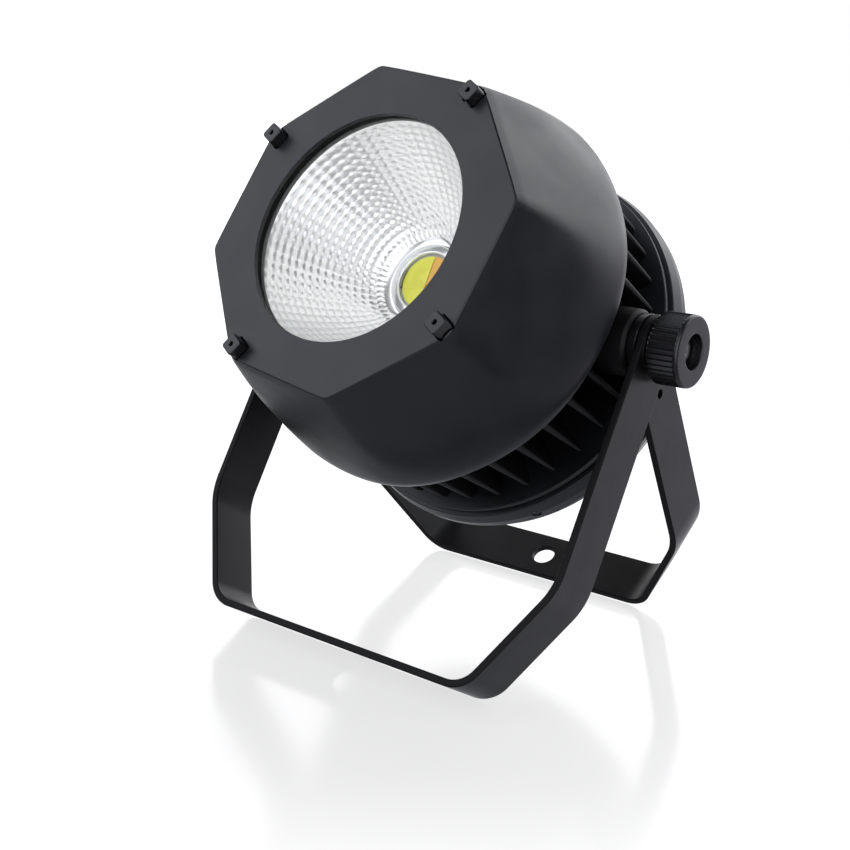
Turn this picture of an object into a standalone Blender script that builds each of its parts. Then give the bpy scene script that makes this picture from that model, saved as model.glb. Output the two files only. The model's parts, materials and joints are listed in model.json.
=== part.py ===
"""LED par can light: a round spot head held between two flat yokes.

The head (hood, lens, reflector, LED, finned heat sink and rear housing) is turned
about its own beam axis and is built in a head frame: local +Z points out of the
lens, local X is the tilt axis and the origin lies on the tilt axis.
The two yokes lean apart and stand on the floor as a V. Lengths are in metres.
"""
import math

import bmesh
import bpy
from mathutils import Matrix, Vector

MM = 0.001
GAP = 0.3 * MM                      # clearance kept between touching parts

# --- driving dimensions --------------------------------------------------------
YOKE_LEAN = math.radians(30.25)     # each yoke leans this far from vertical
HEAD_TILT = math.radians(28.7)      # beam axis above horizontal
BAR_W = 30.0 * MM                   # yoke flat bar, width
BAR_T = 3.7 * MM                    # yoke flat bar, thickness
YOKE_REACH = 182.0 * MM             # tilt axis to the outer face of a cross bar
FRONT_ARM_X = 111.7 * MM            # outer face of the front (outer) yoke's arms
REAR_ARM_X = 106.9 * MM             # outer face of the rear (inner) yoke's arms
PIVOT_Y = -1.43 * MM                # tilt axis behind the middle of the footprint
AXIS_RISE = 1.4 * MM                # head axis above the tilt axis

FACE_Z = 105.6 * MM                 # front face of the hood, along the beam
LIP_Z = 30.0 * MM                   # rear lip of the hood
APERTURE_R = 57.2 * MM
FLAT_R = 79.0 * MM                  # octagon: centre to the middle of a side
OCTAGON_TURN = math.radians(13.5)   # a corner of the octagon from the tilt axis
FLAT_SLOPE = 0.362                  # how fast the flats widen towards the rear
CUP_R = 103.6 * MM                  # round cup that the flats run into, at the lip
CUP_DRAFT = 15.0 * MM
SOFTNESS = 2.2 * MM                 # blend between flats and cup
LIP_TUCK = 1.2 * MM
LIP_DEPTH = 7.0 * MM
HOOD_WALL = 2.4 * MM

FIN_COUNT = 36
CORE_R = 65.0 * MM
DISC_R = 96.5 * MM
DISC_TOP = 38.0 * MM
FIN_FRONT_Z = 28.0 * MM
FIN_REAR_Z = -26.0 * MM

KNOB_R = 17.4 * MM
KNOB_IN_X = 113.9 * MM
KNOB_OUT_X = 130.2 * MM
STUD_R = 4.0 * MM
BOSS_X = 102.0 * MM                 # outer face of a pivot boss
INSERT_R = 6.6 * MM                 # threaded insert in a boss

PIVOT_Z = YOKE_REACH * math.cos(YOKE_LEAN) + BAR_W / 2 * math.sin(YOKE_LEAN)
PIVOT = Vector((0, PIVOT_Y, PIVOT_Z))


# --- scene, collections, materials ---------------------------------------------
for old in list(bpy.data.objects):
    bpy.data.objects.remove(old, do_unlink=True)

parts = bpy.data.collections.new("par_can_light")
cutters = bpy.data.collections.new("cutters")
bpy.context.scene.collection.children.link(parts)
bpy.context.scene.collection.children.link(cutters)

FINISHES = {
    # name: (colour, roughness, metallic)
    "black_paint": ((0.030, 0.031, 0.034), 0.45, 0.0),
    "black_cast": ((0.022, 0.022, 0.024), 0.55, 0.0),
    "black_plastic": ((0.020, 0.020, 0.022), 0.50, 0.0),
    "rubber": ((0.008, 0.008, 0.008), 0.75, 0.0),
    "glass": ((0.90, 0.94, 0.94), 0.03, 0.0),
    "reflector": ((0.88, 0.89, 0.89), 0.12, 1.0),
    "white_ceramic": ((0.80, 0.80, 0.78), 0.45, 0.0),
    "phosphor_cool": ((0.90, 0.86, 0.15), 0.35, 0.0),
    "phosphor_warm": ((0.95, 0.48, 0.08), 0.35, 0.0),
    "steel": ((0.45, 0.45, 0.46), 0.35, 1.0),
    "brass": ((0.60, 0.45, 0.18), 0.35, 1.0),
    "board_green": ((0.03, 0.14, 0.06), 0.45, 0.0),
    "component": ((0.05, 0.05, 0.06), 0.40, 0.0),
    "display": ((0.02, 0.03, 0.04), 0.10, 0.0),
}
materials = {}
for finish, (colour, roughness, metallic) in FINISHES.items():
    material = bpy.data.materials.new(finish)
    material.use_nodes = True
    shader = material.node_tree.nodes["Principled BSDF"]
    shader.inputs["Base Color"].default_value = (*colour, 1)
    shader.inputs["Roughness"].default_value = roughness
    shader.inputs["Metallic"].default_value = metallic
    materials[finish] = material


def empty(name, matrix):
    """An axis marker that parts are parented to."""
    marker = bpy.data.objects.new(name, None)
    parts.objects.link(marker)
    marker.matrix_world = matrix
    return marker


UPRIGHT = Matrix.Translation(PIVOT)
HEAD_TURN = Matrix.Rotation(math.pi / 2 - HEAD_TILT, 4, "X")
HEAD = empty("head_tilt_axis", UPRIGHT @ HEAD_TURN)
BEAM = empty("beam_axis", UPRIGHT @ HEAD_TURN @ Matrix.Translation((0, AXIS_RISE, 0)))
FRONT = empty("front_yoke_axis", UPRIGHT @ Matrix.Rotation(-YOKE_LEAN, 4, "X"))
REAR = empty("rear_yoke_axis", UPRIGHT @ Matrix.Rotation(YOKE_LEAN, 4, "X"))
ALONG_X = Matrix.Rotation(math.pi / 2, 4, "Y")


# --- modelling helpers ---------------------------------------------------------
def add_object(name, mesh, finish, parent, local=Matrix(), collection=parts):
    thing = bpy.data.objects.new(name, mesh)
    collection.objects.link(thing)
    if finish:
        mesh.materials.append(materials[finish])
    if parent:
        thing.parent = parent
    thing.matrix_local = local
    return thing


def smooth(mesh, degrees=35):
    mesh.shade_smooth()
    mesh.set_sharp_from_angle(angle=math.radians(degrees))


def turned_mesh(name, profile, steps=32):
    """Mesh of a profile turned about Z. Profile points are (radius, z), outer side
    first from top to bottom; a profile that starts off the axis is a closed ring."""
    flat = bpy.data.meshes.new(name + "_profile")
    ring = profile[0][0] > 1e-6
    count = len(profile)
    edges = [(i, i + 1) for i in range(count - 1)]
    if ring:
        edges.append((count - 1, 0))
    flat.from_pydata([(r, 0, z) for r, z in profile], edges, [])
    spin = bpy.data.objects.new(name + "_profile", flat)
    cutters.objects.link(spin)
    screw = spin.modifiers.new("turn", "SCREW")
    screw.steps = steps
    screw.render_steps = steps
    screw.use_merge_vertices = True
    screw.merge_threshold = 0.00001
    bpy.context.view_layer.update()
    graph = bpy.context.evaluated_depsgraph_get()
    mesh = bpy.data.meshes.new_from_object(spin.evaluated_get(graph))
    mesh.name = name
    bpy.data.objects.remove(spin)
    smooth(mesh)
    return mesh


def turned(name, profile, finish, parent=BEAM, steps=32, local=Matrix()):
    return add_object(name, turned_mesh(name, profile, steps), finish, parent, local)


def rod(r, z_low, z_high):
    """Profile of a plain round rod."""
    return [(0, z_high), (r, z_high), (r, z_low), (0, z_low)]


def ring(r_out, r_in, z_low, z_high):
    """Profile of a plain ring."""
    return [(r_out, z_high), (r_out, z_low), (r_in, z_low), (r_in, z_high)]


def box_mesh(name, low, high):
    shape = bmesh.new()
    bmesh.ops.create_cube(shape, size=1)
    size = Vector(high) - Vector(low)
    middle = (Vector(high) + Vector(low)) / 2
    bmesh.ops.transform(shape, matrix=Matrix.Translation(middle) @ Matrix.Diagonal((*size, 1)),
                        verts=shape.verts)
    mesh = bpy.data.meshes.new(name)
    shape.to_mesh(mesh)
    shape.free()
    return mesh


def joined(name, meshes):
    """One mesh from separate solids."""
    shape = bmesh.new()
    for mesh in meshes:
        shape.from_mesh(mesh)
    whole = bpy.data.meshes.new(name)
    shape.to_mesh(whole)
    shape.free()
    smooth(whole)
    return whole


def moved(mesh, matrix):
    mesh.transform(matrix)
    return mesh


def at(x, y, z=0.0):
    return Matrix.Translation((x, y, z))


def flat_outline_mesh(name, points, thickness):
    """Mesh of a closed flat outline in XY, extruded evenly to both sides of Z = 0."""
    curve = bpy.data.curves.new(name, "CURVE")
    curve.dimensions = "2D"
    curve.fill_mode = "BOTH"
    curve.extrude = thickness / 2
    spline = curve.splines.new("POLY")
    spline.points.add(len(points) - 1)
    for point, (x, y) in zip(spline.points, points):
        point.co = (x, y, 0, 1)
    spline.use_cyclic_u = True
    holder = bpy.data.objects.new(name + "_outline", curve)
    cutters.objects.link(holder)
    bpy.context.view_layer.update()
    graph = bpy.context.evaluated_depsgraph_get()
    mesh = bpy.data.meshes.new_from_object(holder.evaluated_get(graph))
    bpy.data.objects.remove(holder)
    shape = bmesh.new()
    shape.from_mesh(mesh)
    bmesh.ops.remove_doubles(shape, verts=shape.verts, dist=1e-6)
    bmesh.ops.recalc_face_normals(shape, faces=shape.faces)
    bmesh.ops.dissolve_limit(shape, angle_limit=math.radians(0.5), verts=shape.verts, edges=shape.edges)
    shape.to_mesh(mesh)
    shape.free()
    return mesh


def cut(target, mesh, operation="DIFFERENCE"):
    """Boolean with a mesh given in the target's own frame."""
    bpy.context.view_layer.update()
    tool = add_object(target.name + "_cutter", mesh, None, target.parent, target.matrix_local, cutters)
    tool.hide_render = True
    tool.display_type = "WIRE"
    boolean = target.modifiers.new("cut", "BOOLEAN")
    boolean.operation = operation
    boolean.solver = "EXACT"
    boolean.object = tool
    return tool


def round_edges(target, width, segments=1, degrees=50):
    bevel = target.modifiers.new("edges", "BEVEL")
    bevel.width = width
    bevel.segments = segments
    bevel.limit_method = "ANGLE"
    bevel.angle_limit = math.radians(degrees)


def arc(cx, cy, r, start, stop, steps):
    """Points on an arc, angles in degrees."""
    turns = [math.radians(start + (stop - start) * i / steps) for i in range(steps + 1)]
    return [(cx + r * math.cos(a), cy + r * math.sin(a)) for a in turns]


def rounded_path(corners, radii, steps):
    """An open path whose inner corners are arcs of the given radii."""
    path = [Vector(corners[0])]
    for before, corner, after, radius in zip(corners, corners[1:], corners[2:], radii):
        corner = Vector(corner)
        one = (Vector(before) - corner).normalized()
        two = (Vector(after) - corner).normalized()
        half = one.angle(two) / 2
        centre = corner + (one + two).normalized() * radius / math.sin(half)
        start = (corner + one * radius / math.tan(half) - centre).normalized()
        stop = (corner + two * radius / math.tan(half) - centre).normalized()
        path += [centre + radius * start.slerp(stop, i / steps) for i in range(steps + 1)]
    path.append(Vector(corners[-1]))
    return [tuple(p) for p in path]


# --- yokes ---------------------------------------------------------------------
ARM_BEND = 36 * MM
FOOT_BEND = 18 * MM
CLAMP_HOLE_R = 6.6 * MM
STOP_HOLE_R = 2.5 * MM
UPRIGHT_OUTLINE = Matrix.Rotation(math.pi / 2, 4, "X")


def yoke(name, frame, arm_x, bend_z, bar_x, side_hole_z=None):
    """A flat bar bent to a U: straight arms, a slant inwards and a cross bar.

    arm_x, bar_x: outer faces of the arms and outer corners of the cross bar.
    bend_z: depth below the tilt axis at which the arms start to slant in."""
    half = BAR_W / 2
    outer = [(arm_x, half), (arm_x, -bend_z), (bar_x, -YOKE_REACH)]
    slant = math.atan2(arm_x - bar_x, YOKE_REACH - bend_z)
    bend_in = bend_z - BAR_T * math.tan(slant / 2)
    corner = BAR_T * math.tan((math.pi / 2 - slant) / 2)
    inner = [(arm_x - BAR_T, half), (arm_x - BAR_T, -bend_in), (bar_x - corner, -YOKE_REACH + BAR_T)]
    outer += [(-x, z) for x, z in reversed(outer)]
    inner += [(-x, z) for x, z in reversed(inner)]
    bends = [ARM_BEND, FOOT_BEND, FOOT_BEND, ARM_BEND]
    out_path = rounded_path(outer, bends, 4)
    in_path = rounded_path(inner, [r - BAR_T for r in bends], 4)
    mesh = flat_outline_mesh(name, out_path + in_path[::-1], BAR_W)
    mesh.transform(UPRIGHT_OUTLINE)
    body = add_object(name, mesh, "black_paint", frame)

    # round ends about the tilt axis
    past = half + 2 * MM
    deep = YOKE_REACH + BAR_W
    slab = arc(0, 0, half - 0.01 * MM, 0, 180, 14)
    slab += [(-past, 0), (-past, -deep), (past, -deep), (past, 0)]
    rounding = flat_outline_mesh(name + "_round", slab, 2.5 * arm_x)
    rounding.transform(Matrix.Rotation(math.pi / 2, 4, "Z") @ UPRIGHT_OUTLINE)
    cut(body, rounding, "INTERSECT")

    across = 2 * arm_x
    holes = [moved(turned_mesh("pivot_hole", rod(STUD_R + GAP, -across, across), 16), ALONG_X)]
    clamp_hole = rod(CLAMP_HOLE_R, -YOKE_REACH - 9 * MM, -YOKE_REACH + 9 * MM)
    holes.append(turned_mesh("clamp_hole", clamp_hole, 20))
    if side_hole_z:
        stop_hole = turned_mesh("stop_hole", rod(STOP_HOLE_R, -across, across), 12)
        holes.append(moved(stop_hole, at(0, 0, -side_hole_z) @ ALONG_X))
    cut(body, joined(name + "_holes", holes))
    round_edges(body, 0.5 * MM)
    return body


yoke("front_yoke", FRONT, FRONT_ARM_X, 126.0 * MM, 81.4 * MM)
yoke("rear_yoke", REAR, REAR_ARM_X, 123.0 * MM, 74.3 * MM, side_hole_z=30 * MM)


# --- hood ----------------------------------------------------------------------
SIDES = 8
PER_SIDE = 6


def hood_radius(angle, z):
    """Outer radius of the hood: a soft round cup cut by eight flat facets."""
    from_corner = (angle - OCTAGON_TURN) % (2 * math.pi / SIDES)
    from_middle = from_corner - math.pi / SIDES
    flat = (FLAT_R + FLAT_SLOPE * (FACE_Z - z)) / math.cos(from_middle)
    depth = max(0.0, (z - LIP_Z) / (FACE_Z - LIP_Z))
    cup = CUP_R - CUP_DRAFT * depth ** 1.3
    tuck = LIP_TUCK * max(0.0, 1 - (z - LIP_Z) / LIP_DEPTH) ** 2
    mixed = -SOFTNESS * math.log(math.exp(-flat / SOFTNESS) + math.exp(-cup / SOFTNESS))
    return mixed - tuck


def hood():
    """Loft from the round aperture over the octagonal face to the round rear lip."""
    shape = bmesh.new()
    around = SIDES * PER_SIDE
    angles = [OCTAGON_TURN + 2 * math.pi * i / around for i in range(around)]
    face_edge = 1.6 * MM
    high = FACE_Z - 4 * MM
    low = LIP_Z + 6 * MM
    levels = [FACE_Z - 1.0 * MM, high]
    levels += [high + (low - high) * i / 5 for i in range(1, 6)]
    levels.append(LIP_Z)
    rows = [[(APERTURE_R, FACE_Z)] * around]
    rows.append([(hood_radius(a, FACE_Z) - face_edge, FACE_Z) for a in angles])
    rows += [[(hood_radius(a, z), z) for a in angles] for z in levels]
    rings = []
    for row in rows:
        rings.append([shape.verts.new((r * math.cos(a), r * math.sin(a), z))
                      for a, (r, z) in zip(angles, row)])
    for upper, lower in zip(rings, rings[1:]):
        for i in range(around):
            j = (i + 1) % around
            shape.faces.new((upper[i], lower[i], lower[j], upper[j]))
    bmesh.ops.recalc_face_normals(shape, faces=shape.faces)
    mesh = bpy.data.meshes.new("hood")
    shape.to_mesh(mesh)
    shape.free()
    smooth(mesh, 24)
    if sum(p.normal.z for p in mesh.polygons) < 0:
        mesh.flip_normals()
    cup = add_object("hood", mesh, "black_paint", BEAM)
    wall = cup.modifiers.new("wall", "SOLIDIFY")
    wall.thickness = HOOD_WALL
    wall.offset = -1
    wall.use_even_offset = True
    return cup


CLIP_TURNS = [OCTAGON_TURN + math.radians(45 + 90 * k) for k in range(4)]
CLIP_R = 79.0 * MM                  # the catches fill notches in four corners
CLIP_TOP = FACE_Z + 5.8 * MM
CLIP_HALF = Vector((4.2 * MM, 4.2 * MM))    # radial and sideways half sizes
WINDOW_GAP = Vector((0.6 * MM, 0.6 * MM))


def clip_frame(turn):
    return Matrix.Rotation(turn, 4, "Z") @ at(CLIP_R, 0)


cup = hood()
notches = []
for turn in CLIP_TURNS:
    corner = CLIP_HALF + WINDOW_GAP
    opening = box_mesh("window", (*-corner, FACE_Z - 12 * MM), (*corner, FACE_Z + 5 * MM))
    notches.append(moved(opening, clip_frame(turn)))
cut(cup, joined("hood_notches", notches))

POST_TOP = 96.0 * MM                # posts of the heat sink that carry hood and catches
for number, turn in enumerate(CLIP_TURNS, 1):
    block = box_mesh("clip", (*-CLIP_HALF, POST_TOP + GAP), (*CLIP_HALF, CLIP_TOP))
    clip = add_object(f"accessory_clip_{number}", block, "black_plastic", BEAM, clip_frame(turn))
    round_edges(clip, 1.2 * MM, 2)
    cut(clip, turned_mesh("clip_hole", rod(1.2 * MM, CLIP_TOP - 5 * MM, CLIP_TOP + 2 * MM), 12))


# --- lens, reflector and LED -----------------------------------------------------
GLASS_TOP = 99.2 * MM
GLASS_LOW = 96.4 * MM
REFLECTOR_TOP = 96.0 * MM
REFLECTOR_LOW = 40.6 * MM
REFLECTOR_WALL = 1.2 * MM
FLANGE_R = 62.6 * MM
RIM_R = 58.6 * MM
NECK_R = 20.5 * MM
BOWL_POWER = 0.62
reflector_steps = 6

turned("lens_gasket", ring(63.5 * MM, 57.9 * MM, GLASS_TOP + GAP, FACE_Z - HOOD_WALL - GAP), "rubber")
turned("lens_glass", rod(62.8 * MM, GLASS_LOW, GLASS_TOP), "glass")
turned("inner_barrel", ring(66.0 * MM, 63.8 * MM, DISC_TOP + GAP, GLASS_TOP), "black_paint", steps=40)

bowl = []
for i in range(reflector_steps + 1):
    t = i / reflector_steps
    radius = NECK_R + (RIM_R - NECK_R) * t ** BOWL_POWER
    bowl.append((radius, REFLECTOR_LOW + (REFLECTOR_TOP - REFLECTOR_LOW) * t))
outer = [(r + REFLECTOR_WALL, z - 0.4 * MM) for r, z in bowl]
outer[0] = (NECK_R + REFLECTOR_WALL, REFLECTOR_LOW)
outer[-1] = (RIM_R + REFLECTOR_WALL, REFLECTOR_TOP - REFLECTOR_WALL)
rim = [(FLANGE_R, REFLECTOR_TOP), (FLANGE_R, REFLECTOR_TOP - REFLECTOR_WALL)]
turned("reflector", rim + outer[::-1] + bowl, "reflector", steps=36)

BOARD_TOP = 40.2 * MM
BOARD_HALF = 19 * MM
EMITTER_R = 14 * MM
EMITTER_DEPTH = 0.8 * MM
board = box_mesh("led_board", (-BOARD_HALF, -BOARD_HALF, DISC_TOP + GAP), (BOARD_HALF, BOARD_HALF, BOARD_TOP))
add_object("led_board", board, "white_ceramic", BEAM)
half_moon = [(x - 0.2 * MM, y) for x, y in arc(0, 0, EMITTER_R, 90, 270, 20)]
for name, finish, side in (("emitter_cool", "phosphor_cool", 0), ("emitter_warm", "phosphor_warm", math.pi)):
    moon = flat_outline_mesh(name, half_moon, EMITTER_DEPTH)
    moon.transform(Matrix.Rotation(side, 4, "Z"))
    add_object(name, moon, finish, BEAM, at(0, 0, BOARD_TOP + GAP + EMITTER_DEPTH / 2))
turned("led_holder", ring(19.8 * MM, 15.2 * MM, BOARD_TOP + GAP, 43.2 * MM), "white_ceramic")


# --- heat sink -------------------------------------------------------------------
def fin_outline(core_r, tip_r, thickness):
    """Closed outline of the core with its radial fins; none beside the two bosses."""
    points = []
    pitch = 2 * math.pi / FIN_COUNT
    for number in range(FIN_COUNT):
        angle = pitch * (number + 0.5)
        root = math.asin(thickness / 2 / core_r) * 1.1
        tip = math.asin(thickness / 2 / tip_r)
        beside_boss = abs(math.cos(angle)) > math.cos(0.6 * pitch)
        points.append((core_r, angle - root))
        if not beside_boss:
            points += [(tip_r, angle - tip), (tip_r, angle + tip)]
        points.append((core_r, angle + root))
    return [(r * math.cos(a), r * math.sin(a)) for r, a in points]


WIRE_HOLE = at(0, -24 * MM)         # the LED's cable passes here
WIRE_HOLE_R = 4 * MM
SCREW_HOLE_R = 2.4 * MM
BORE_R = 7.0 * MM                   # for a threaded insert, through a boss


def to_side(side):
    """Frame whose Z runs out along the tilt axis, seen from the beam axis."""
    return at(0, -AXIS_RISE) @ Matrix.Rotation(side * math.pi / 2, 4, "Y")


def screw_place(k):
    """Four screws that join the rear housing to the heat sink."""
    return Matrix.Rotation(math.radians(45 + 90 * k), 4, "Z") @ at(50 * MM, 0)


def heat_sink():
    """Base disc, core, drafted fins and the two bosses that the pivot bolts enter."""
    shape = bmesh.new()
    front = [shape.verts.new((x, y, FIN_FRONT_Z + 2 * MM))
             for x, y in fin_outline(CORE_R + MM, DISC_R, 4.6 * MM)]
    back = [shape.verts.new((x, y, FIN_REAR_Z))
            for x, y in fin_outline(CORE_R - MM, DISC_R - 2.5 * MM, 1.8 * MM)]
    count = len(front)
    for i in range(count):
        j = (i + 1) % count
        shape.faces.new((front[j], front[i], back[i], back[j]))
    shape.faces.new(front)
    shape.faces.new(back[::-1])
    bmesh.ops.recalc_face_normals(shape, faces=shape.faces)
    mesh = bpy.data.meshes.new("heat_sink")
    shape.to_mesh(mesh)
    shape.free()
    sink = add_object("heat_sink", mesh, "black_cast", BEAM)
    cut(sink, turned_mesh("disc", rod(DISC_R, FIN_FRONT_Z, DISC_TOP), 48), "UNION")
    boss = [(0, BOSS_X), (15 * MM, BOSS_X), (16.5 * MM, BOSS_X - 1.5 * MM), (17.5 * MM, 55 * MM), (0, 55 * MM)]
    bosses = [moved(turned_mesh("boss", boss, 32), to_side(side)) for side in (1, -1)]
    cut(sink, joined("bosses", bosses), "UNION")
    posts = [moved(turned_mesh("post", rod(3.5 * MM, DISC_TOP - 3 * MM, POST_TOP), 16), clip_frame(turn))
             for turn in CLIP_TURNS]
    cut(sink, joined("hood_posts", posts), "UNION")
    bores = [moved(turned_mesh("bore", rod(BORE_R, 78 * MM, BOSS_X + 5 * MM), 24), to_side(side))
             for side in (1, -1)]
    bores.append(moved(turned_mesh("wire_hole", rod(WIRE_HOLE_R, -60 * MM, DISC_TOP + 5 * MM), 20), WIRE_HOLE))
    bores += [moved(turned_mesh("screw_hole", rod(SCREW_HOLE_R, -60 * MM, -14 * MM), 12), screw_place(k))
              for k in range(4)]
    cut(sink, joined("bores", bores))
    return sink


def cover_place(k):
    """Four screws that hold the rear panel."""
    return Matrix.Rotation(math.radians(45 + 90 * k), 4, "Z") @ at(70.5 * MM, 0)


def cover_holes():
    holes = [turned_mesh("hole", rod(1.9 * MM, -99 * MM, -84 * MM), 12) for k in range(4)]
    return joined("cover_holes", [moved(hole, cover_place(k)) for k, hole in enumerate(holes)])


heat_sink()


# --- rear housing -----------------------------------------------------------------
DRIVER_Z = -40.0 * MM               # top of the driver board
SHELL_FLOOR_Z = -33.0 * MM          # inner side of the wall behind the fins
shell_outer = [(97.4, -30.3), (97.4, -33.6), (95.6, -33.9), (95.6, -35.2), (99.4, -35.2), (101.2, -42.0),
               (101.0, -48.0), (99.0, -54.0), (95.6, -59.5), (86.5, -77.0), (80.0, -90.0), (75.8, -94.0)]
shell_inner = [(66.0, -94.0), (66.0, -91.5), (77.0, -89.0), (84.0, -76.0), (93.2, -57.0), (98.2, -48.0),
               (98.2, -43.0), (92.5, -35.5), (92.5, -33.0), (12.0, -33.0), (12.0, -30.3)]
profile = [(r * MM, z * MM) for r, z in shell_outer + shell_inner]
housing = turned("rear_housing", profile, "black_paint", steps=40)
openings = [moved(turned_mesh("hole", rod(SCREW_HOLE_R, -60 * MM, -20 * MM), 12), screw_place(k))
            for k in range(4)]
openings.append(moved(turned_mesh("wire_slot", rod(WIRE_HOLE_R, -60 * MM, -20 * MM), 20), WIRE_HOLE))
cut(housing, joined("housing_holes", openings))
PILLAR = (56 * MM, 34 * MM)         # the driver board rests on four pillars
pillars = [moved(turned_mesh("pillar", rod(3 * MM, DRIVER_Z + GAP, SHELL_FLOOR_Z + MM), 12),
                 at(sx * PILLAR[0], sy * PILLAR[1])) for sx in (-1, 1) for sy in (-1, 1)]
cut(housing, joined("pillars", pillars), "UNION")
cut(housing, cover_holes())

under = SHELL_FLOOR_Z - GAP
wall_screw = [(0, -16 * MM), (2 * MM, -16 * MM), (2 * MM, under), (4 * MM, under), (4 * MM, under - 3 * MM),
              (0, under - 3 * MM)]
for k in range(4):
    turned(f"housing_screw_{k + 1}", wall_screw, "steel", steps=10, local=screw_place(k))

PANEL_TOP = -95.3 * MM
PANEL_LOW = -97.7 * MM
gasket = turned("rear_gasket", ring(74.5 * MM, 67.0 * MM, -95.0 * MM, -94.3 * MM), "rubber")
cut(gasket, cover_holes())
panel = turned("rear_panel", [(0, PANEL_TOP), (75.5 * MM, PANEL_TOP), (75.5 * MM, PANEL_LOW + 0.8 * MM),
                              (74.7 * MM, PANEL_LOW), (0, PANEL_LOW)], "black_paint", steps=40)

SOCKETS = {"power_inlet": (-33 * MM, -12 * MM), "power_outlet": (33 * MM, -12 * MM),
           "signal_inlet": (-18 * MM, -45 * MM), "signal_outlet": (18 * MM, -45 * MM)}
BUTTONS = {f"menu_button_{n}": (x * MM, 14 * MM) for n, x in enumerate((-27, -9, 9, 27), 1)}
DISPLAY = Vector((0, 38 * MM))
DISPLAY_HALF = Vector((21 * MM, 11 * MM))
FUSE = (0, -12 * MM)
SOCKET_R = 11.4 * MM
BUTTON_R = 4.1 * MM
FUSE_R = 6.0 * MM


def panel_hole(r, place):
    return moved(turned_mesh("hole", rod(r, PANEL_LOW - 3 * MM, PANEL_TOP + 3 * MM), 12), at(*place))


panel_cuts = [panel_hole(SOCKET_R + 0.4 * MM, place) for place in SOCKETS.values()]
panel_cuts += [panel_hole(BUTTON_R + 0.4 * MM, place) for place in BUTTONS.values()]
panel_cuts.append(panel_hole(FUSE_R + GAP, FUSE))
panel_cuts.append(box_mesh("window", (*(DISPLAY - DISPLAY_HALF), PANEL_LOW - 3 * MM),
                           (*(DISPLAY + DISPLAY_HALF), PANEL_TOP + 3 * MM)))
cut(panel, cover_holes())
cut(panel, joined("panel_cuts", panel_cuts))

FLANGE_FACE = PANEL_LOW - GAP       # flanges and screw heads stand on the panel from here
for name, place in SOCKETS.items():
    cup_r = 8.6 * MM if name.startswith("power") else 7.4 * MM
    lip = FLANGE_FACE - 2.2 * MM
    floor = FLANGE_FACE + 11 * MM
    end = FLANGE_FACE + 14 * MM
    profile = [(0, end), (SOCKET_R, end), (SOCKET_R, FLANGE_FACE), (14 * MM, FLANGE_FACE),
               (14 * MM, lip + 0.8 * MM), (13.2 * MM, lip), (cup_r, lip), (cup_r, floor), (0, floor)]
    turned(name, profile, "black_plastic", local=at(*place), steps=16)

BUTTON_OUT = PANEL_LOW - 2.0 * MM
BUTTON_IN = -93.8 * MM
for name, place in BUTTONS.items():
    shoulder = BUTTON_IN - 1.2 * MM
    cap = [(0, BUTTON_IN), (5.2 * MM, BUTTON_IN), (5.2 * MM, shoulder), (BUTTON_R, shoulder),
           (BUTTON_R, BUTTON_OUT + 0.6 * MM), (3.5 * MM, BUTTON_OUT), (0, BUTTON_OUT)]
    turned(name, cap, "black_plastic", local=at(*place), steps=12)

fuse_in, fuse_rim, fuse_out = -76 * MM, FLANGE_FACE - 2 * MM, FLANGE_FACE - 6 * MM
fuse = [(0, fuse_in), (FUSE_R, fuse_in), (FUSE_R, FLANGE_FACE), (8 * MM, FLANGE_FACE), (8 * MM, fuse_rim),
        (6.4 * MM, fuse_rim), (5.6 * MM, fuse_out), (0, fuse_out)]
turned("fuse_holder", fuse, "black_plastic", local=at(*FUSE), steps=16)

inset = Vector((GAP, GAP))
window = box_mesh("display_window", (*(DISPLAY - DISPLAY_HALF + inset), PANEL_LOW - 0.4 * MM),
                  (*(DISPLAY + DISPLAY_HALF - inset), PANEL_TOP))
add_object("display_window", window, "glass", BEAM)

cover_screw = [(0, -86 * MM), (1.5 * MM, -86 * MM), (1.5 * MM, FLANGE_FACE), (3.4 * MM, FLANGE_FACE),
               (2.8 * MM, FLANGE_FACE - 1.6 * MM), (0, FLANGE_FACE - 1.6 * MM)]
for k in range(4):
    turned(f"cover_screw_{k + 1}", cover_screw, "steel", steps=10, local=cover_place(k))

# boards inside the rear housing
BOARD_T = 1.6 * MM
CONTROL_Z = -82.0 * MM
DRIVER_UNDER = DRIVER_Z - BOARD_T - GAP


def block(name, finish, x, y, z):
    """A box given by its (low, high) spans in mm across the beam and in metres along it."""
    low, high = zip([v * MM for v in x], [v * MM for v in y], z)
    return add_object(name, box_mesh(name, low, high), finish, BEAM)


block("control_board", "board_green", (-38, 38), (6, 54), (CONTROL_Z, CONTROL_Z + BOARD_T))
block("display_module", "display", (-24, 24), (25, 51), (PANEL_TOP + 2.2 * MM, CONTROL_Z - GAP))
strip = block("menu_switches", "component", (-32, 32), (10, 18), (CONTROL_Z - 5 * MM, CONTROL_Z - GAP))
plunger = rod(1.8 * MM, BUTTON_IN + 1.4 * MM, CONTROL_Z - 4 * MM)
plungers = [moved(turned_mesh("plunger", plunger, 12), at(*place)) for place in BUTTONS.values()]
cut(strip, joined("plungers", plungers), "UNION")
block("driver_board", "board_green", (-62, 62), (-40, 40), (DRIVER_Z - BOARD_T, DRIVER_Z))
block("driver_transformer", "component", (-16, 16), (-14, 14), (DRIVER_UNDER - 26 * MM, DRIVER_UNDER))
block("driver_choke", "component", (30, 50), (-10, 10), (DRIVER_UNDER - 20 * MM, DRIVER_UNDER))
turned("driver_capacitor", rod(8 * MM, DRIVER_UNDER - 26 * MM, DRIVER_UNDER), "component", steps=20,
       local=at(-36 * MM, 0))

# cable from the driver board through the heat sink to the LED
turned("led_cable", rod(2.2 * MM, DRIVER_Z + GAP, DISC_TOP + 1.0 * MM), "rubber", steps=12,
       local=WIRE_HOLE)


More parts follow.
